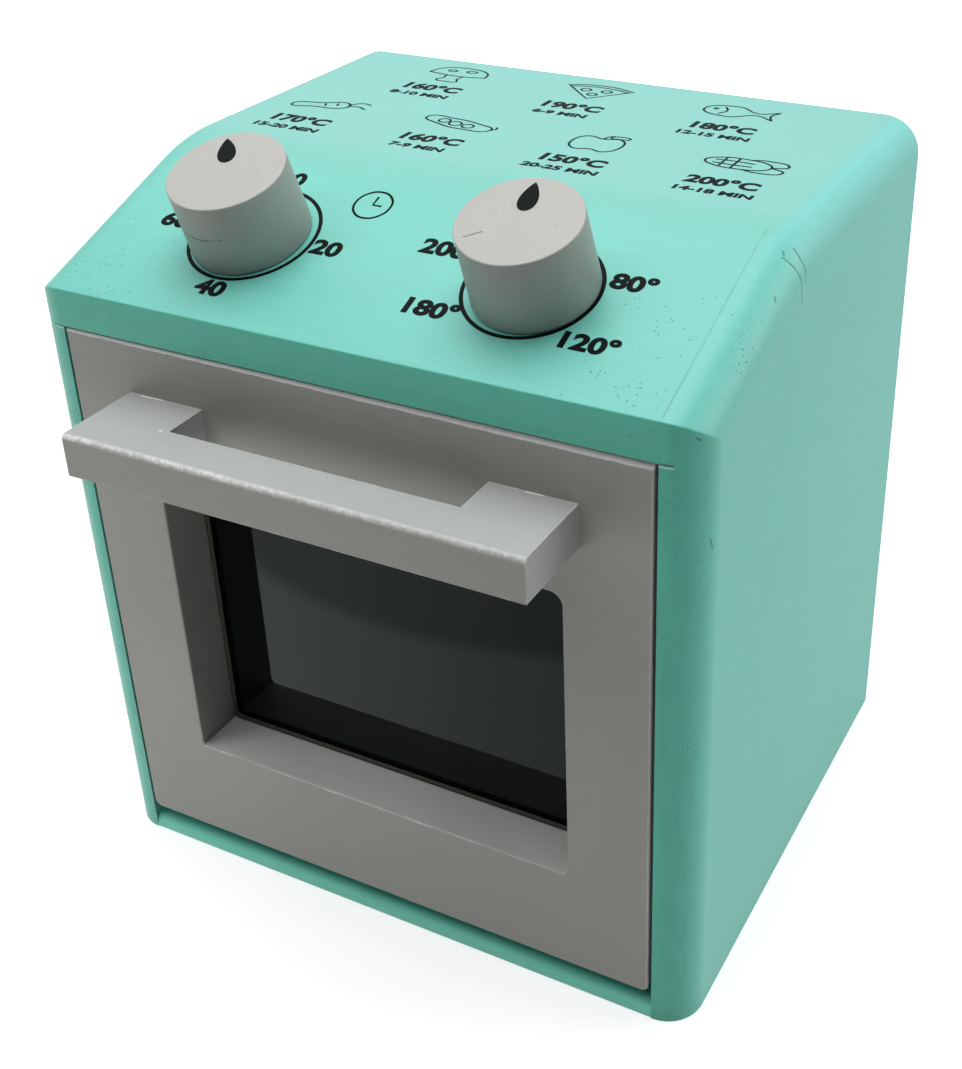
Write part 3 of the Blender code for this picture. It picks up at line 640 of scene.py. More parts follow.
DOOR_LOW, DOOR_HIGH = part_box("door_panel")
DOOR_THICKNESS = 0.016
DOOR_EASE = 0.0006
DOOR_RIGHT_TRIM = 0.0006
DOOR_CORNER_RADIUS = 0.0025
WINDOW_SIDE_MARGIN = 0.0252
WINDOW_TOP_MARGIN = 0.0430
WINDOW_BOTTOM_MARGIN = 0.0338
WINDOW_UPPER_RADIUS = 0.0038
WINDOW_LOWER_RADIUS = 0.002
WINDOW_LEFT = DOOR_LOW.x + WINDOW_SIDE_MARGIN
WINDOW_RIGHT = DOOR_HIGH.x - WINDOW_SIDE_MARGIN
WINDOW_LOW = DOOR_LOW.z + WINDOW_BOTTOM_MARGIN
WINDOW_HIGH = DOOR_HIGH.z - WINDOW_TOP_MARGIN
ARC_STEPS = 12
MERGE_GAP = 0.000002
CUT_GAP = 0.000001

# Painted light and shade: the next grey is for faces that look up, the one after for the rest.
GREY_PAINTED_TOP_LIGHT = (0.54, 0.535, 0.505)
GREY_PAINTED_SHADE = (0.400, 0.402, 0.372)
# Painted shade: the next grey darkens the window's sides.
GREY_PAINTED_RECESS_SHADE = (0.27, 0.27, 0.25)
GREY_PORE = (0.12, 0.12, 0.11)
GREY_CLOUD = 0.10
GREY_PORES = 0.006
GREY_RELIEF = 0.00010
# Worn paint and painted highlights both take the next, pale colour.
PRIMER_AND_HIGHLIGHT = (0.95, 0.95, 0.94)
PRIMER_ROUGHER = 0.12
WEAR_REACH = 0.0011
MARK_WANDER = 0.0010
CHIPS_LEFT = 0.0008
CHIPS_RIGHT = 0.0015
CHIPS_RAGGED = 0.0006
CHIPS_LEAN = 0.6
# Painted highlight: how pale the door's right edge is painted.
RIGHT_EDGE_HIGHLIGHT = 0.3
SQUARE_ON = 0.7
# Painted light: how pale the window's sill is painted.
SILL_PAINTED_LIGHT = 0.75
SILL_MARK_WIDTH = 0.0004
SILL_MARKS = ((-0.0630, -0.0480), (-0.0420, -0.0260), (-0.0230, 0.0080), (0.0090, 0.0370),
              (0.0430, 0.0520))


def edge_wear_and_highlight(g, place, amount):
    """Where paint rubs thin, and where edges are painted pale as a highlight: along convex edges,
    broken up by noise.
    """
    rounded = g.add("ShaderNodeBevel", {"Radius": WEAR_REACH}, samples=6)
    plain = g.add("ShaderNodeNewGeometry", output="True Normal")
    lean = g.minus(1.0, g.vector("DOT_PRODUCT", rounded, plain, "Value"))
    edge = g.ramp(lean, 0.015, 0.10)
    patch = g.ramp(g.noise(place, scale=120.0, detail=4.0, roughness=0.6), 0.42, 0.62)
    grit = g.ramp(g.noise(place, scale=900.0), 0.35, 0.6)
    return [g.times(edge, patch, grit, amount)]


EDGE_WEAR_AND_HIGHLIGHT = new_group("edge_wear_and_highlight", edge_wear_and_highlight, {"Position": "Vector", "Amount": "Float"},
                      {"Mask": "Float"})


def grey_material(name, stretch, streak, wear_and_highlight_amount, marks=(), worn_and_lit=None, recess_shade=None, top=GREY_PAINTED_TOP_LIGHT,
                  right=0.0):
    """Warm grey paint, painted paler as light on top and in part on the right, with worn edges
    and marks.

    A mark is its start, its end, its width and whether it is light, and a light mark is a chip or
    a painted highlight. The wear mask gives where the paint has gone and where highlights are
    painted pale; the shade mask gives where shade is painted dark."""
    made, g = new_material(name, Specular_IOR_Level=0.42, Sheen_Weight=0.04, Sheen_Roughness=0.6)
    place = object_place(g)
    # Painted light and shade: faces that look up, and in part those that look right, get the
    # paler grey.
    painted_light_share = g.most(facing(g, "Z"), g.times(facing(g, "X"), right))
    paint = g.blend(painted_light_share, GREY_PAINTED_SHADE, top)
    # Painted shade: the window's sides are painted darker.
    if recess_shade:
        paint = g.blend(recess_shade(g, place), paint, GREY_PAINTED_RECESS_SHADE)
    film = use_group(g, PAINT_FILM, Position=place, Colour=paint, Pore_Colour=GREY_PORE,
                     Stretch=stretch, Cloud=GREY_CLOUD, Streak=streak, Pores=GREY_PORES)
    colour, height = film["Colour"], film["Height"]
    wear_and_highlight = use_group(g, EDGE_WEAR_AND_HIGHLIGHT, Position=place, Amount=wear_and_highlight_amount)["Mask"]
    if worn_and_lit:
        wear_and_highlight = g.most(wear_and_highlight, worn_and_lit(g, place))
    for start, end, width, light in marks:
        mark = use_group(g, HAIRLINE, Position=place, Start=start, End=end, Width=width,
                         Wander=MARK_WANDER)["Mask"]
        if light:
            wear_and_highlight = g.most(wear_and_highlight, mark)
        else:
            colour, height = scored(g, mark, colour, height, GREY_PORE)
    # Worn paint and painted highlights turn pale here.
    return surface(made, g.blend(wear_and_highlight, colour, PRIMER_AND_HIGHLIGHT),
                   g.plus(film["Roughness"], g.times(wear_and_highlight, PRIMER_ROUGHER)),
                   g.minus(height, wear_and_highlight), GREY_RELIEF)


def worn_and_lit_door(g, place):
    """A ragged chipped strip along the top edge with a painted highlight in it, a painted
    highlight down the right edge, and a sill painted paler as light.
    """
    x, y, z = g.axes(place)
    depth = g.ramp(x, DOOR_LOW.x, DOOR_HIGH.x, start=CHIPS_LEFT, end=CHIPS_RIGHT)
    ragged = g.times(g.minus(g.noise(place, scale=420.0, detail=4.0), 0.5), CHIPS_RAGGED)
    below = g.plus(g.minus(DOOR_HIGH.z, z), ragged)
    front = g.less(y, FRONT_Y + CHIPS_RIGHT)
    # The top strip is chipped paint with a painted highlight in it.
    chips_and_highlight = g.times(g.less(below, depth), front)
    # Painted highlight down the right edge.
    right = g.more(g.plus(x, ragged), DOOR_HIGH.x - DOOR_RIGHT_TRIM - DOOR_EASE)
    low = g.less(z, WINDOW_LOW + WINDOW_LOWER_RADIUS)
    # Painted light on the window's sill.
    dust_and_sill_light = g.times(g.more(facing(g, "Z"), SQUARE_ON), low, SILL_PAINTED_LIGHT)
    return g.most(chips_and_highlight, g.times(right, front, RIGHT_EDGE_HIGHLIGHT), dust_and_sill_light)


def painted_reveal_shade(g, place):
    """The window's sawn sides, painted darker as the shade in the recess."""
    x = g.axes(place)[0]
    sideways = g.more(g.math("ABSOLUTE", facing(g, "X")), SQUARE_ON)
    return g.times(sideways, g.less(g.math("ABSOLUTE", x), WINDOW_RIGHT + DOOR_EASE))


def rounded_rectangle(low, high, lower_radius, upper_radius):
    """An anticlockwise rectangle between two corners, with round or square upper corners."""
    left, right = low[0] + lower_radius, high[0] - lower_radius
    points = arc((left, low[1] + lower_radius), lower_radius, 180, 270, ARC_STEPS)
    points += arc((right, low[1] + lower_radius), lower_radius, 270, 360, ARC_STEPS)
    if not upper_radius:
        return points + [(high[0], high[1]), (low[0], high[1])]
    left, right = low[0] + upper_radius, high[0] - upper_radius
    points += arc((right, high[1] - upper_radius), upper_radius, 0, 90, ARC_STEPS)
    return points + arc((left, high[1] - upper_radius), upper_radius, 90, 180, ARC_STEPS)


def curve_mesh(name, curve):
    """The mesh of a curve or a text, in place of the curve itself."""
    holder = put_in_scene(name, curve)
    mesh = shown_mesh(holder)
    bpy.data.objects.remove(holder, do_unlink=True)
    return mesh


def sawn_board(name, outlines, thickness, ease, place):
    """A flat board from closed outlines with eased edges, as a mesh in its final place."""
    flat = bpy.data.curves.new(name, "CURVE")
    flat.dimensions = "2D"
    flat.fill_mode = "BOTH"
    flat.extrude = thickness / 2 - ease
    flat.bevel_depth = ease
    flat.bevel_resolution = 3
    flat.offset = -ease
    for outline in outlines:
        spline = flat.splines.new("POLY")
        spline.points.add(len(outline) - 1)
        for point, (x, y) in zip(spline.points, outline):
            point.co = (x, y, 0, 1)
        spline.use_cyclic_u = True
    work = bmesh.new()
    work.from_mesh(curve_mesh(name, flat))
    bmesh.ops.remove_doubles(work, verts=work.verts, dist=MERGE_GAP)
    bmesh.ops.transform(work, matrix=place, verts=work.verts)
    return finish_mesh(work, name, sharp=35.0)


def facing_front(y):
    """Local X and Y become world X and Z, at the depth y."""
    return Matrix.Translation((0, y, 0)) @ Matrix.Rotation(math.pi / 2, 4, "X")


def lean_back_top(mesh):
    """Wears the board's top front edge back, more to the right."""
    cut = Vector((DOOR_LOW.x, 0, DOOR_HIGH.z - CHIPS_LEFT))
    along = Vector((DOOR_HIGH.x - DOOR_LOW.x, 0, CHIPS_LEFT - CHIPS_RIGHT)).normalized()
    upright = Vector((-along.z, 0, along.x))
    work = bmesh.new()
    work.from_mesh(mesh)
    whole = work.verts[:] + work.edges[:] + work.faces[:]
    bmesh.ops.bisect_plane(work, geom=whole, plane_co=cut, plane_no=upright, dist=CUT_GAP)
    for vert in work.verts:
        above = (vert.co - cut).dot(upright)
        if above > 0 and vert.co.y < FRONT_Y + DOOR_EASE + above:
            vert.co.y = max(vert.co.y, FRONT_Y + CHIPS_LEAN * above)
    work.to_mesh(mesh)
    work.free()
    mesh.set_sharp_from_angle(angle=math.radians(35.0))


door_outline = rounded_rectangle((DOOR_LOW.x, DOOR_LOW.z),
                                 (DOOR_HIGH.x - DOOR_RIGHT_TRIM, DOOR_HIGH.z),
                                 DOOR_CORNER_RADIUS, 0)
window_hole = rounded_rectangle((WINDOW_LEFT, WINDOW_LOW), (WINDOW_RIGHT, WINDOW_HIGH),
                                WINDOW_LOWER_RADIUS, WINDOW_UPPER_RADIUS)
window_hole.reverse()
sill_marks = [((start, FRONT_Y, WINDOW_LOW), (end, FRONT_Y, WINDOW_LOW), SILL_MARK_WIDTH, True)
              for start, end in SILL_MARKS]
door_paint = grey_material("grey_door_paint", stretch=(70, 420, 420), streak=0.2, wear_and_highlight_amount=0.35,
                           marks=sill_marks, worn_and_lit=worn_and_lit_door, recess_shade=painted_reveal_shade, right=1.0)
door_mesh = sawn_board("door_board", [door_outline, window_hole], DOOR_THICKNESS, DOOR_EASE,
                       facing_front(FRONT_Y + DOOR_THICKNESS / 2))
lean_back_top(door_mesh)
door = add_piece("door_board", door_mesh, door_paint, "door", ["door_panel"])
even_normals(door)


# Window
# A dark acrylic pane behind the door board, on a soft grey strip that runs round the
# opening. Both keep their CAD shapes; the pane takes a polished finish.

PANE_COLOUR = (0.0010, 0.0016, 0.0022)
PANE_SHEEN = (0.84, 1.0, 0.97, 1.0)
PANE_RELIEF = 0.00012
DUST_COLOUR = (0.3, 0.3, 0.3)
DUST_SHARE = 0.006
STRIP_COLOUR = (0.100, 0.094, 0.083)
STRIP_PALE = (0.165, 0.152, 0.135)
STRIP_RELIEF = 0.0001


def pane_material():
    """Polished black acrylic, with faint dust that dulls it here and there."""
    made, g = new_material("black_acrylic", IOR=1.5, Specular_IOR_Level=0.25,
                           Specular_Tint=PANE_SHEEN)
    place = object_place(g)
    dust_and_sill_light = g.ramp(g.noise(place, scale=60.0, detail=6.0, roughness=0.7), 0.45, 0.8)
    return surface(made, g.blend(g.times(dust_and_sill_light, DUST_SHARE), PANE_COLOUR, DUST_COLOUR),
                   g.ramp(dust_and_sill_light, 0.0, 1.0, start=0.03, end=0.08),
                   g.noise(place, scale=18.0, detail=1.0), PANE_RELIEF)


def strip_material():
    """Soft grey foam strip with a fine cell structure."""
    made, g = new_material("foam_strip", Specular_IOR_Level=0.25)
    cell = g.noise(object_place(g), scale=1600.0, detail=3.0)
    return surface(made, g.blend(cell, STRIP_COLOUR, STRIP_PALE),
                   g.ramp(cell, 0.2, 0.8, start=0.7, end=0.95), cell, STRIP_RELIEF)


finish_node("window_pane", pane_material())
finish_node("window_gasket", strip_material())


# Handle
# A U cut from 12 mm board, with its front top edge rounded for the hand and its other edges
# left as sawn, sprayed grey like the door. The rounded edge carries a speckled painted
# highlight, brightest at the left.

HANDLE_LOW, HANDLE_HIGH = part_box("door_handle")
HANDLE_BAR_DEPTH = 0.0134
HANDLE_FOOT_LENGTH = 0.0246
HANDLE_INNER_RADIUS = 0.0005
HANDLE_HAND_ROUND = 0.0014
HANDLE_ROUND_SEGMENTS = 5
# Painted light: the handle's paler grey for faces that look up and right.
GREY_HANDLE_PAINTED_LIGHT = (0.478, 0.490, 0.482)
# Painted highlight along the bar's rounded edge: its reach, its core, and where it fades to the
# right.
GRIP_HIGHLIGHT_REACH = 0.0018
GRIP_HIGHLIGHT_CORE = 0.0005
GRIP_HIGHLIGHT_FADES = (-0.03, 0.04)
GRIP_HIGHLIGHT_RIGHT = 0.5
HANDLE_MARK_WIDTH = 0.0004
# Pale marks: a chip on the right foot, a painted highlight along the left foot's back edge, and a
# nick on the bar.
HANDLE_CHIPS_AND_HIGHLIGHT = (((0.0545, -0.0696, 0.1655), (0.0590, -0.0694, 0.1655)),
                ((-0.0640, -0.0696, 0.1655), (-0.0570, -0.0694, 0.1655)),
                ((-0.0466, -0.0833, 0.1655), (-0.0460, -0.0832, 0.1655)))


def handle_mesh():
    """The U's outline drawn up to its full thickness, its hand edge marked for rounding."""
    bar_back = HANDLE_LOW.y + HANDLE_BAR_DEPTH
    left, right = HANDLE_LOW.x, HANDLE_HIGH.x
    inner = HANDLE_INNER_RADIUS
    foot_right, foot_left = right - HANDLE_FOOT_LENGTH, left + HANDLE_FOOT_LENGTH
    outline = [(left, HANDLE_LOW.y), (right, HANDLE_LOW.y), (right, FRONT_Y),
               (foot_right, FRONT_Y)]
    outline += arc((foot_right - inner, bar_back + inner), inner, 0, -90, LIP_STEPS)
    outline += arc((foot_left + inner, bar_back + inner), inner, 270, 180, LIP_STEPS)
    outline += [(foot_left, FRONT_Y), (left, FRONT_Y)]
    mesh = lofted("door_handle_bar", [[(x, y, z) for x, y in outline]
                                      for z in (HANDLE_LOW.z, HANDLE_HIGH.z)], sharp=35.0)
    work = bmesh.new()
    work.from_mesh(mesh)
    weight = work.edges.layers.float.new("bevel_weight_edge")
    for edge in work.edges:
        hand = all((vert.co - Vector((vert.co.x, HANDLE_LOW.y, HANDLE_HIGH.z))).length < inner
                   for vert in edge.verts)
        edge[weight] = 1.0 if hand else 0.0
    work.to_mesh(mesh)
    work.free()
    return mesh


def painted_grip_highlight(g, place):
    """A painted highlight along the bar's rounded top front edge, in speckles and brightest at
    the left.
    """
    x, y, z = g.axes(place)
    away = g.most(g.minus(y, HANDLE_LOW.y), g.minus(HANDLE_HIGH.z, z))
    band = g.ramp(away, GRIP_HIGHLIGHT_REACH, GRIP_HIGHLIGHT_CORE)
    patch = g.ramp(g.noise(place, scale=60.0, detail=3.0), 0.36, 0.56, start=0.6)
    speckle = g.ramp(g.noise(place, scale=700.0, detail=3.0), 0.40, 0.58, start=0.5)
    return g.times(band, patch, speckle, g.ramp(x, *GRIP_HIGHLIGHT_FADES, start=1.0, end=GRIP_HIGHLIGHT_RIGHT))


handle_chips_and_highlight = [(start, end, HANDLE_MARK_WIDTH, True) for start, end in HANDLE_CHIPS_AND_HIGHLIGHT]
handle_paint = grey_material("grey_handle_paint", stretch=(60, 500, 500), streak=0.3, wear_and_highlight_amount=0.45,
                             marks=handle_chips_and_highlight, worn_and_lit=painted_grip_highlight, top=GREY_HANDLE_PAINTED_LIGHT, right=1.0)
handle = add_piece("handle_bar", handle_mesh(), handle_paint, "door",
                   ["door_handle"])
rounding = handle.modifiers.new("rounded_edges", "BEVEL")
rounding.limit_method = "WEIGHT"
rounding.width = HANDLE_HAND_ROUND
rounding.segments = HANDLE_ROUND_SEGMENTS
rounding.use_clamp_overlap = False
even_normals(handle)


# Knobs
# Two turned hardwood knobs that taper a little to the top, sprayed grey, each with a black
# drop-shaped pointer printed on its face. They turn on their axles.

KNOB_HEIGHT = 0.0217
KNOB_BASE_RADIUS = 0.01675
KNOB_TOP_RADIUS = 0.0163
KNOB_ROUND = 0.0004
KNOB_ROUND_STEPS = 6
KNOB_STEPS = 128
KNOB_LIFT = 0.0003
AXLE_SOCKET_RADIUS = 0.0043
AXLE_SOCKET_DEPTH = 0.0123
POINTER_WIDTH = 0.0064
POINTER_LENGTH = 0.0108
POINTER_POINTEDNESS = 0.8
POINTER_STEPS = 48
POINTER_FROM_AXIS = 0.0088
TIMER_POINTS_AT = 122.0
TEMPERATURE_POINTS_AT = 99.0
INK_COLOUR = (0.003, 0.005, 0.005)
INK_PALE = (0.015, 0.02, 0.02)
INK_RELIEF = 0.00002
INK_FILM = 0.00003
SCRATCH_WIDTH = 0.0004
SCRATCH_RADIUS = 0.0165
SCRATCH = ((-127, 0.0122), (-114, 0.0118), (-101, 0.0117), (-88, 0.0119), (-72, 0.0121))
TEMPERATURE_MARKS = (((-0.0105, -0.0089, 0.0220), (-0.0069, -0.0061, 0.0220), 0.0003, False),)


def turned(name, profile, steps):
    """A turned solid about local Z, from a profile that runs from its top to its foot."""
    work = bmesh.new()
    turns = [2 * math.pi * step / steps for step in range(steps)]
    rings = []
    for radius, z in profile:
        points = [(radius * math.cos(t), radius * math.sin(t), z) for t in turns]
        rings.append([work.verts.new(point) for point in (points if radius else points[:1])])
    for near, far in zip(rings, rings[1:]):
        for i in range(steps):
            j = (i + 1) % steps
            corners = [near[i % len(near)], near[j % len(near)], far[j % len(far)],
                       far[i % len(far)]]
            work.faces.new(list(dict.fromkeys(corners)))
    return finish_mesh(work, name, sharp=40.0)


def knob_profile():
    """From the middle of the face, down the side, and up into the axle's socket."""
    top = KNOB_LIFT + KNOB_HEIGHT
    face = KNOB_TOP_RADIUS - KNOB_ROUND
    profile = [(0, top), (face - KNOB_ROUND, top)]
    profile += arc((face, top - KNOB_ROUND), KNOB_ROUND, 90, 0, KNOB_ROUND_STEPS)
    foot = (KNOB_BASE_RADIUS - KNOB_ROUND, KNOB_LIFT + KNOB_ROUND)
    profile += arc(foot, KNOB_ROUND, 0, -90, LIP_STEPS)
    roof = KNOB_LIFT + AXLE_SOCKET_DEPTH
    return profile + [(AXLE_SOCKET_RADIUS, KNOB_LIFT), (AXLE_SOCKET_RADIUS, roof), (0, roof)]


def ink_material():
    """Screen-printed black ink, slightly uneven."""
    made, g = new_material("black_ink", Specular_IOR_Level=0.06)
    grit = g.noise(object_place(g), scale=1500.0, detail=3.0)
    return surface(made, g.blend(g.ramp(grit, 0.5, 0.9), INK_COLOUR, INK_PALE),
                   g.ramp(grit, 0.2, 0.8, start=0.4, end=0.6), grit, INK_RELIEF)


def pointer_mesh(name):
    """A drop, its tip along local Y, as a thin film of ink."""
    points = []
    for step in range(POINTER_STEPS):
        turn = 2 * math.pi * step / POINTER_STEPS
        swell = math.sin(turn) * math.sin(turn / 2) ** POINTER_POINTEDNESS
        points.append((POINTER_WIDTH / 2 * swell, POINTER_LENGTH / 2 * math.cos(turn)))
    return lofted(name, [[(x, y, z) for x, y in points] for z in (-INK_FILM, INK_FILM)])


ink = ink_material()
scratch = [(SCRATCH_RADIUS * math.cos(math.radians(turn)),
            SCRATCH_RADIUS * math.sin(math.radians(turn)), z) for turn, z in SCRATCH]
timer_marks = [(start, end, SCRATCH_WIDTH, False) for start, end in zip(scratch, scratch[1:])]
for dial, points_at, marks in (("timer", TIMER_POINTS_AT, timer_marks),
                               ("temperature", TEMPERATURE_POINTS_AT, TEMPERATURE_MARKS)):
    # The knob paint is painted paler on top as light.
    knob_paint = grey_material(f"grey_{dial}_paint", stretch=(300, 300, 60), streak=0.35,
                               wear_and_highlight_amount=0.45, marks=marks)
    seat = slope_frame(dial_x(dial + "_knob"), DIAL_UP_SLOPE)
    add_piece(dial + "_knob_turned", turned(dial + "_knob_turned", knob_profile(), KNOB_STEPS),
              knob_paint, dial + "_dial", [dial + "_knob"], seat)
    turn = Matrix.Rotation(math.radians(points_at - 90), 4, "Z")
    face = Matrix.Translation((0, POINTER_FROM_AXIS, KNOB_LIFT + KNOB_HEIGHT + INK_FILM))
    add_piece(dial + "_pointer", pointer_mesh(dial + "_pointer"), ink, dial + "_dial",
              matrix=seat @ turn @ face)


# Dial prints
# A ring round each knob, plain numbers beside it and a small clock, screen-printed in black
# on the slope. Each is placed by how far it lies to the right of its axle and up from it.

RING_LINE = 0.0011
RING_STEPS = 96
NUMBER_HEIGHT = 0.0054
NUMBER_STRETCH = 1.2
CAP_SHARE = 0.73
BOLD_SHARE = 0.045
CLOCK_RADIUS = 0.0055
CLOCK_LINE = 0.0007
CLOCK_PLACE = (0.0276, 0.0193)
LINE_FLATNESS = 0.12

TIMER_RING = (0.0185, 0.0003, 0.0007)
TEMPERATURE_RING = (0.0182, -0.0012, 0.0003)
TIMER_NUMBERS = (("0", 0.0001, 0.0238), ("20", 0.0242, -0.0001), ("40", 0.0007, -0.0219),
                 ("60", -0.0262, 0.0000))
TEMPERATURE_NUMBERS = (("80°", 0.0236, 0.0074), ("120°", 0.0210, -0.0150),
                       ("180°", -0.0235, -0.0140), ("200°", -0.0290, 0.0076))


def ring_mesh(name, radius, line):
    """A flat printed ring."""
    inner, outer = radius - line / 2, radius + line / 2
    profile = [(inner, INK_FILM), (outer, INK_FILM), (outer, -INK_FILM), (inner, -INK_FILM),
               (inner, INK_FILM)]
    return turned(name, profile, RING_STEPS)


def text_mesh(name, text, height, stretch):
    """Printed characters, centred, as a thin film of ink."""
    words = bpy.data.curves.new(name, "FONT")
    words.body = text
    words.size = height / CAP_SHARE
    words.align_x = "CENTER"
    words.align_y = "CENTER"
    words.offset = words.size * BOLD_SHARE
    words.extrude = INK_FILM
    words.resolution_u = 4
    mesh = curve_mesh(name, words)
    mesh.transform(Matrix.Diagonal((stretch, 1, 1, 1)))
    return mesh


def straight(*points):
    return ("VECTOR", False, points)


def curved(*points):
    return ("AUTO", False, points)


def looped(*points):
    return ("AUTO", True, points)


def oval(x, y, width, height, steps=6):
    """A closed smooth stroke round an oval."""
    turns = [2 * math.pi * step / steps for step in range(steps)]
    return looped(*[(x + width / 2 * math.cos(t), y + height / 2 * math.sin(t)) for t in turns])


def line_mesh(name, strokes, line, unit):
    """Drawn strokes with round ends, in multiples of the unit, flattened to a film."""
    drawing = bpy.data.curves.new(name, "CURVE")
    drawing.dimensions = "3D"
    drawing.bevel_depth = line / 2
    drawing.bevel_resolution = 2
    drawing.resolution_u = 6
    drawing.use_fill_caps = True
    for kind, closed, points in strokes:
        spline = drawing.splines.new("BEZIER")
        spline.bezier_points.add(len(points) - 1)
        for knot, (x, y) in zip(spline.bezier_points, points):
            knot.co = (x * unit, y * unit, 0)
            knot.handle_left_type = knot.handle_right_type = kind
        spline.use_cyclic_u = closed
    mesh = curve_mesh(name, drawing)
    mesh.transform(Matrix.Diagonal((1, 1, LINE_FLATNESS, 1)))
    return mesh


def add_print(name, mesh, place):
    """Prints a mesh of ink on the cabinet."""
    add_piece(name, mesh, ink, "cabinet", matrix=place)


def beside_axle(dial, right, up):
    return slope_frame(dial_x(dial + "_knob") + right, DIAL_UP_SLOPE + up, INK_FILM)


for dial, ring, numbers in (("timer", TIMER_RING, TIMER_NUMBERS),
                            ("temperature", TEMPERATURE_RING, TEMPERATURE_NUMBERS)):
    radius, right, up = ring
    name = dial + "_ring_print"
    add_print(name, ring_mesh(name, radius, RING_LINE), beside_axle(dial, right, up))
    for number, (text, right, up) in enumerate(numbers, start=1):
        name = f"{dial}_number_{number}"
        add_print(name, text_mesh(name, text, NUMBER_HEIGHT, NUMBER_STRETCH),
                  beside_axle(dial, right, up))

clock_face = [oval(0, 0, 2, 2, steps=8), straight((0, 0.62), (0, 0), (0.5, 0))]
add_print("clock_print", line_mesh("clock_print", clock_face, CLOCK_LINE, CLOCK_RADIUS),
          beside_axle("timer", *CLOCK_PLACE))


# Cooking chart
# Line drawings of plain foods on the deck, each with a temperature and a time under it,
# screen-printed in the same black ink. The points are in hundredths of a drawing's size.

DRAWING_SIZE = 0.0262
DRAWING_LINE = 0.00070
HEAT_HEIGHT = 0.0056
HEAT_STRETCH = 1.05
TIME_HEIGHT = 0.0031
TIME_STRETCH = 1.25
HEAT_DROP = 0.0165
TIME_DROP = 0.0240

FISH = [curved((42, 16), (20, 4), (-10, 20), (-46, 0), (-10, -20), (20, -4), (42, -16)),
        curved((42, 16), (36, 0), (42, -16)), curved((-24, 13), (-18, 0), (-24, -13)),
        oval(-33, 4, 4, 4)]
CARROT = [looped((-46, -14), (-10, 5), (16, 14), (24, 2), (16, -8), (-14, -12)),
          curved((20, 8), (34, 20), (46, 18)), curved((22, 3), (36, 6), (48, 0)),
          straight((-8, 2), (-4, -5)), straight((6, 8), (9, 0))]
PIZZA = [straight((-40, 16), (2, -26), (40, 16)),
         curved((-44, 18), (-20, 27), (0, 29), (20, 27), (44, 18)),
         curved((-40, 14), (-20, 20), (0, 22), (20, 20), (40, 14)),
         oval(-14, 7, 13, 10), oval(13, 8, 13, 10), oval(1, -8, 12, 10)]
MUSHROOM = [curved((-40, 0), (-32, 20), (0, 30), (32, 20), (40, 0)),
            curved((-40, 0), (0, -6), (40, 0)),
            curved((-12, -4), (-10, -18), (-14, -28), (0, -31), (14, -28), (10, -18), (12, -4)),
            oval(-14, 14, 12, 7), oval(12, 17, 14, 8)]
PEAS = [looped((-46, 10), (-20, -10), (10, -17), (46, -8), (20, 8), (-10, 14)),
        curved((46, -8), (50, -2), (48, 4)),
        oval(-20, 3, 14, 13), oval(-3, -2, 15, 14), oval(15, -5, 14, 13)]
APPLE = [looped((0, 16), (-20, 20), (-30, 0), (-18, -24), (0, -20), (18, -24), (30, 0), (20, 20)),
         curved((0, 16), (2, 24), (8, 30)), looped((6, 24), (18, 30), (28, 26), (16, 22))]
CORN = [looped((-44, 0), (-30, 13), (0, 16), (24, 10), (30, 0), (24, -10), (0, -16), (-30, -13)),
        curved((2, 16), (20, 20), (46, 10), (30, 0)),
        curved((2, -16), (20, -20), (46, -10), (30, 0)),
        curved((-34, 5), (-10, 6), (10, 5)), curved((-34, -5), (-10, -6), (10, -5)),
        straight((-24, 13), (-24, -13)), straight((-10, 15), (-10, -15))]

CHART = (("mushroom", MUSHROOM, "160°C", "8-10 MIN", 0.038, 0.150),
         ("pizza", PIZZA, "190°C", "6-9 MIN", 0.088, 0.150),
         ("fish", FISH, "180°C", "12-15 MIN", 0.138, 0.149),
         ("carrot", CARROT, "170°C", "15-20 MIN", 0.019, 0.105),
         ("peas", PEAS, "160°C", "7-9 MIN", 0.065, 0.105),
         ("apple", APPLE, "150°C", "20-25 MIN", 0.111, 0.105),
         ("corn", CORN, "200°C", "14-18 MIN", 0.156, 0.105))


def deck_frame(x, y):
    """On the deck, from the door's left edge and the cabinet's front."""
    return Matrix.Translation((DOOR_LOW.x + x, FRONT_Y + y, CABINET_HEIGHT + INK_FILM))


for food, strokes, heat, minutes, x, y in CHART:
    drawing = line_mesh(food + "_print", strokes, DRAWING_LINE, DRAWING_SIZE / 100)
    add_print(food + "_print", drawing, deck_frame(x, y))
    heat_mesh = text_mesh(food + "_heat", heat, HEAT_HEIGHT, HEAT_STRETCH)
    add_print(food + "_heat_print", heat_mesh, deck_frame(x, y - HEAT_DROP))
    time_mesh = text_mesh(food + "_time", minutes, TIME_HEIGHT, TIME_STRETCH)
    add_print(food + "_time_print", time_mesh, deck_frame(x, y - TIME_DROP))


# Stage
# A plain pale floor that runs out of the picture on all sides. The camera sees it as white,
# with the object's shadow kept.

FLOOR_REACH = 6.0
FLOOR_LOW = (0.79, 0.79, 0.79)
FLOOR_HIGH = (0.81, 0.81, 0.81)
FLOOR_GLOW = 0.6
GLOW_NEAR = 0.3
GLOW_FAR = 0.9
FLOOR_SHINE = 1.4
SHINE_LEFT = -0.15
SHINE_RIGHT = 0.04
SHINE_RIGHT_SHARE = 0.55
SHADE_PLACE = (-0.081, -0.377, 0.0)
SHADE_RADIUS = 0.217
SHADE_SOFTNESS = 0.006
SHADE_SHARE = 0.6


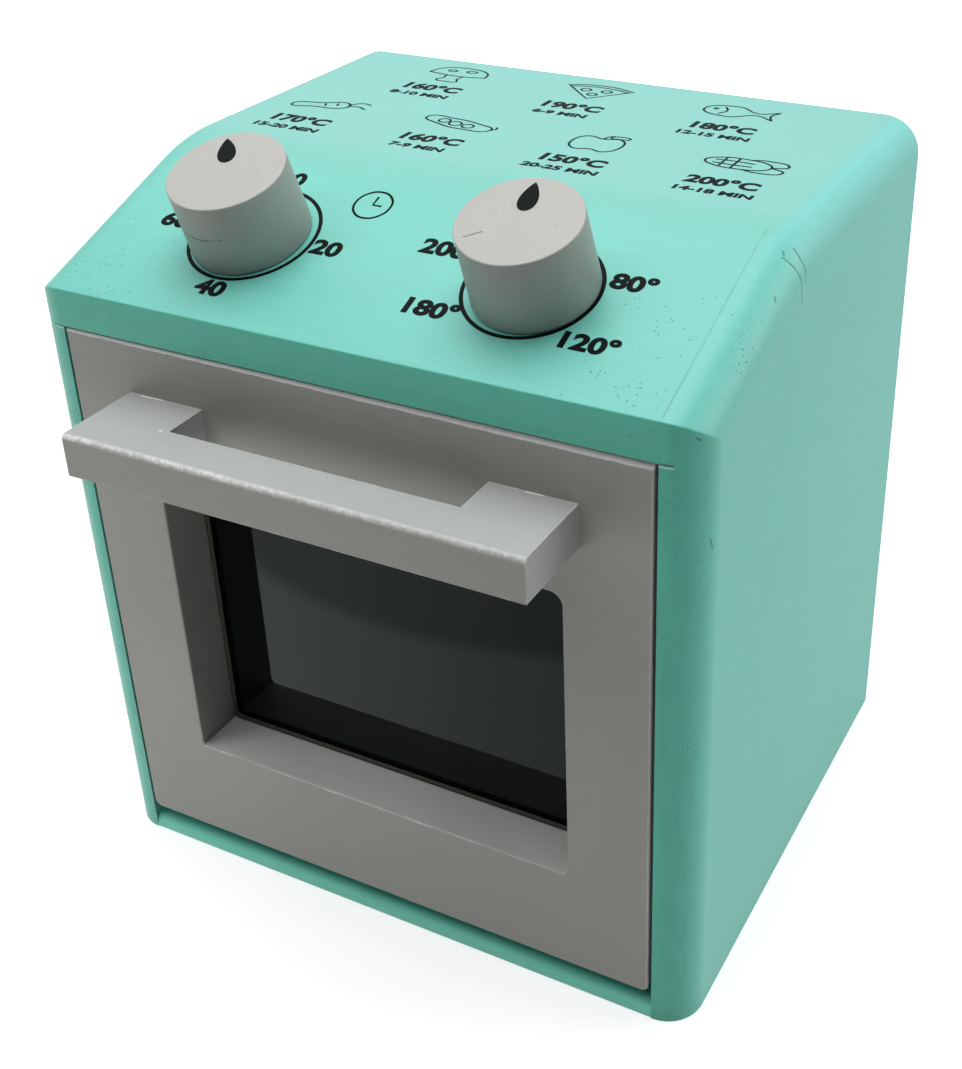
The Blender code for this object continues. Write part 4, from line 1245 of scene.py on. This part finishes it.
def floor_material():
    """Pale floor, with a plain white added for the camera.

    Reflections see it instead as a painted glow, dimmer to the right, with a painted round shadow
    in front of the toy."""
    made, g = new_material("pale_floor", Roughness=0.9, Specular_IOR_Level=0.1)
    shader = made.node_tree.nodes["Principled BSDF"]
    place = object_place(g)
    cloud = g.noise(place, scale=3.0)
    g.plug(shader.inputs["Base Color"], g.blend(cloud, FLOOR_LOW, FLOOR_HIGH))
    rays = g.tree.nodes.new("ShaderNodeLightPath").outputs
    distance = g.vector("LENGTH", place, output="Value")
    white = g.ramp(distance, GLOW_NEAR, GLOW_FAR, start=FLOOR_GLOW)
    glow = g.add("ShaderNodeEmission", {"Strength": g.times(rays["Is Camera Ray"], white)})
    seen = g.add("ShaderNodeAddShader", {0: shader.outputs[0], 1: glow})
    # Painted reflection: glossy rays see a glow with a painted round shadow, not the lit floor.
    away = g.vector("DISTANCE", place, SHADE_PLACE, "Value")
    shade = g.ramp(away, SHADE_RADIUS - SHADE_SOFTNESS, SHADE_RADIUS + SHADE_SOFTNESS,
                   start=SHADE_SHARE)
    side = g.ramp(g.axes(place)[0], SHINE_LEFT, SHINE_RIGHT, start=1.0, end=SHINE_RIGHT_SHARE)
    mirrored = g.add("ShaderNodeEmission", {"Strength": g.times(side, shade, FLOOR_SHINE)})
    both = g.add("ShaderNodeMixShader", {0: rays["Is Glossy Ray"], 1: seen, 2: mirrored})
    g.plug(g.tree.nodes["Material Output"].inputs["Surface"], both)
    return made


work = bmesh.new()
bmesh.ops.create_grid(work, x_segments=8, y_segments=8, size=FLOOR_REACH)
floor = put_in_scene("floor", finish_mesh(work, "floor"))
floor.data.materials.append(floor_material())


# Light
# Soft ceiling lights round the toy and a broad window on its right behind it, with two small
# cards by its foot that throw light up at the front. The sky is white and lights only
# reflections. A lamp is its name, place, size and power, and a card has its own aim too.

LAMPS = (("top_light", (0.0, 0.1, 1.4), 1.0, 12.4),
         ("back_light", (-0.6, 1.15, 0.75), 0.9, 0.8),
         ("left_light", (-0.7, 0.15, 1.1), 0.8, 1.8),
         ("front_light", (-0.1, -0.6, 1.2), 0.8, 1.5),
         ("front_left_light", (-0.6, -0.5, 1.0), 0.5, 1.6),
         ("window_light", (1.15, 0.75, 0.6), 0.9, 7.5))
CARDS = (("front_card", (-0.05, -0.24, 0.02), 0.18, 0.05, (0.0, -0.07, 0.06)),
         ("left_card", (-0.26, -0.14, 0.02), 0.15, 0.04, (-0.1, -0.03, 0.05)))
LIGHT_AIM = (0.0, 0.0, 0.12)
SKY_SHINE = 0.5


def add_lamp(name, place, size, power, aim=LIGHT_AIM):
    lamp = bpy.data.lights.new(name, "AREA")
    lamp.size = size
    lamp.energy = power
    holder = put_in_scene(name, lamp)
    holder.location = place
    holder.rotation_euler = (Vector(aim) - Vector(place)).to_track_quat("-Z", "Y").to_euler()
    return holder


for lamp in LAMPS:
    add_lamp(*lamp)
for card in CARDS:
    holder = add_lamp(*card)
    holder.visible_camera = False
    holder.visible_glossy = False

world = bpy.data.worlds.new("studio")
bpy.context.scene.world = world
world.use_nodes = True
g = Graph(world.node_tree)
rays = world.node_tree.nodes.new("ShaderNodeLightPath").outputs
background = world.node_tree.nodes["Background"]
background.inputs["Color"].default_value = (1, 1, 1, 1)
g.plug(background.inputs["Strength"],
       g.plus(rays["Is Camera Ray"], g.times(rays["Is Glossy Ray"], SKY_SHINE)))


# Camera
# The photograph was taken from above the toy's right front corner. Its frame is a crop, so
# the lens is shifted by part of what the crop took away.

CAMERA_PLACE = (0.21195, -0.34994, 0.35709)
CAMERA_AZIMUTH = 27.43
CAMERA_ELEVATION = 28.96
CAMERA_ROLL = -1.03
CAMERA_LENS = 52.24
CAMERA_SHIFT = (-0.0822, -0.0873)

lens = bpy.data.cameras.new("camera")
lens.lens = CAMERA_LENS
lens.sensor_width = 36.0
lens.shift_x, lens.shift_y = CAMERA_SHIFT
lens.clip_start = 0.01
lens.clip_end = 50.0
aim = Matrix.Rotation(math.radians(CAMERA_AZIMUTH), 4, "Z")
aim = aim @ Matrix.Rotation(math.radians(90 - CAMERA_ELEVATION), 4, "X")
aim = aim @ Matrix.Rotation(math.radians(CAMERA_ROLL), 4, "Z")
camera = put_in_scene("camera", lens)
camera.matrix_world = Matrix.Translation(CAMERA_PLACE) @ aim
bpy.context.scene.camera = camera
bpy.context.scene.view_settings.view_transform = "Standard"
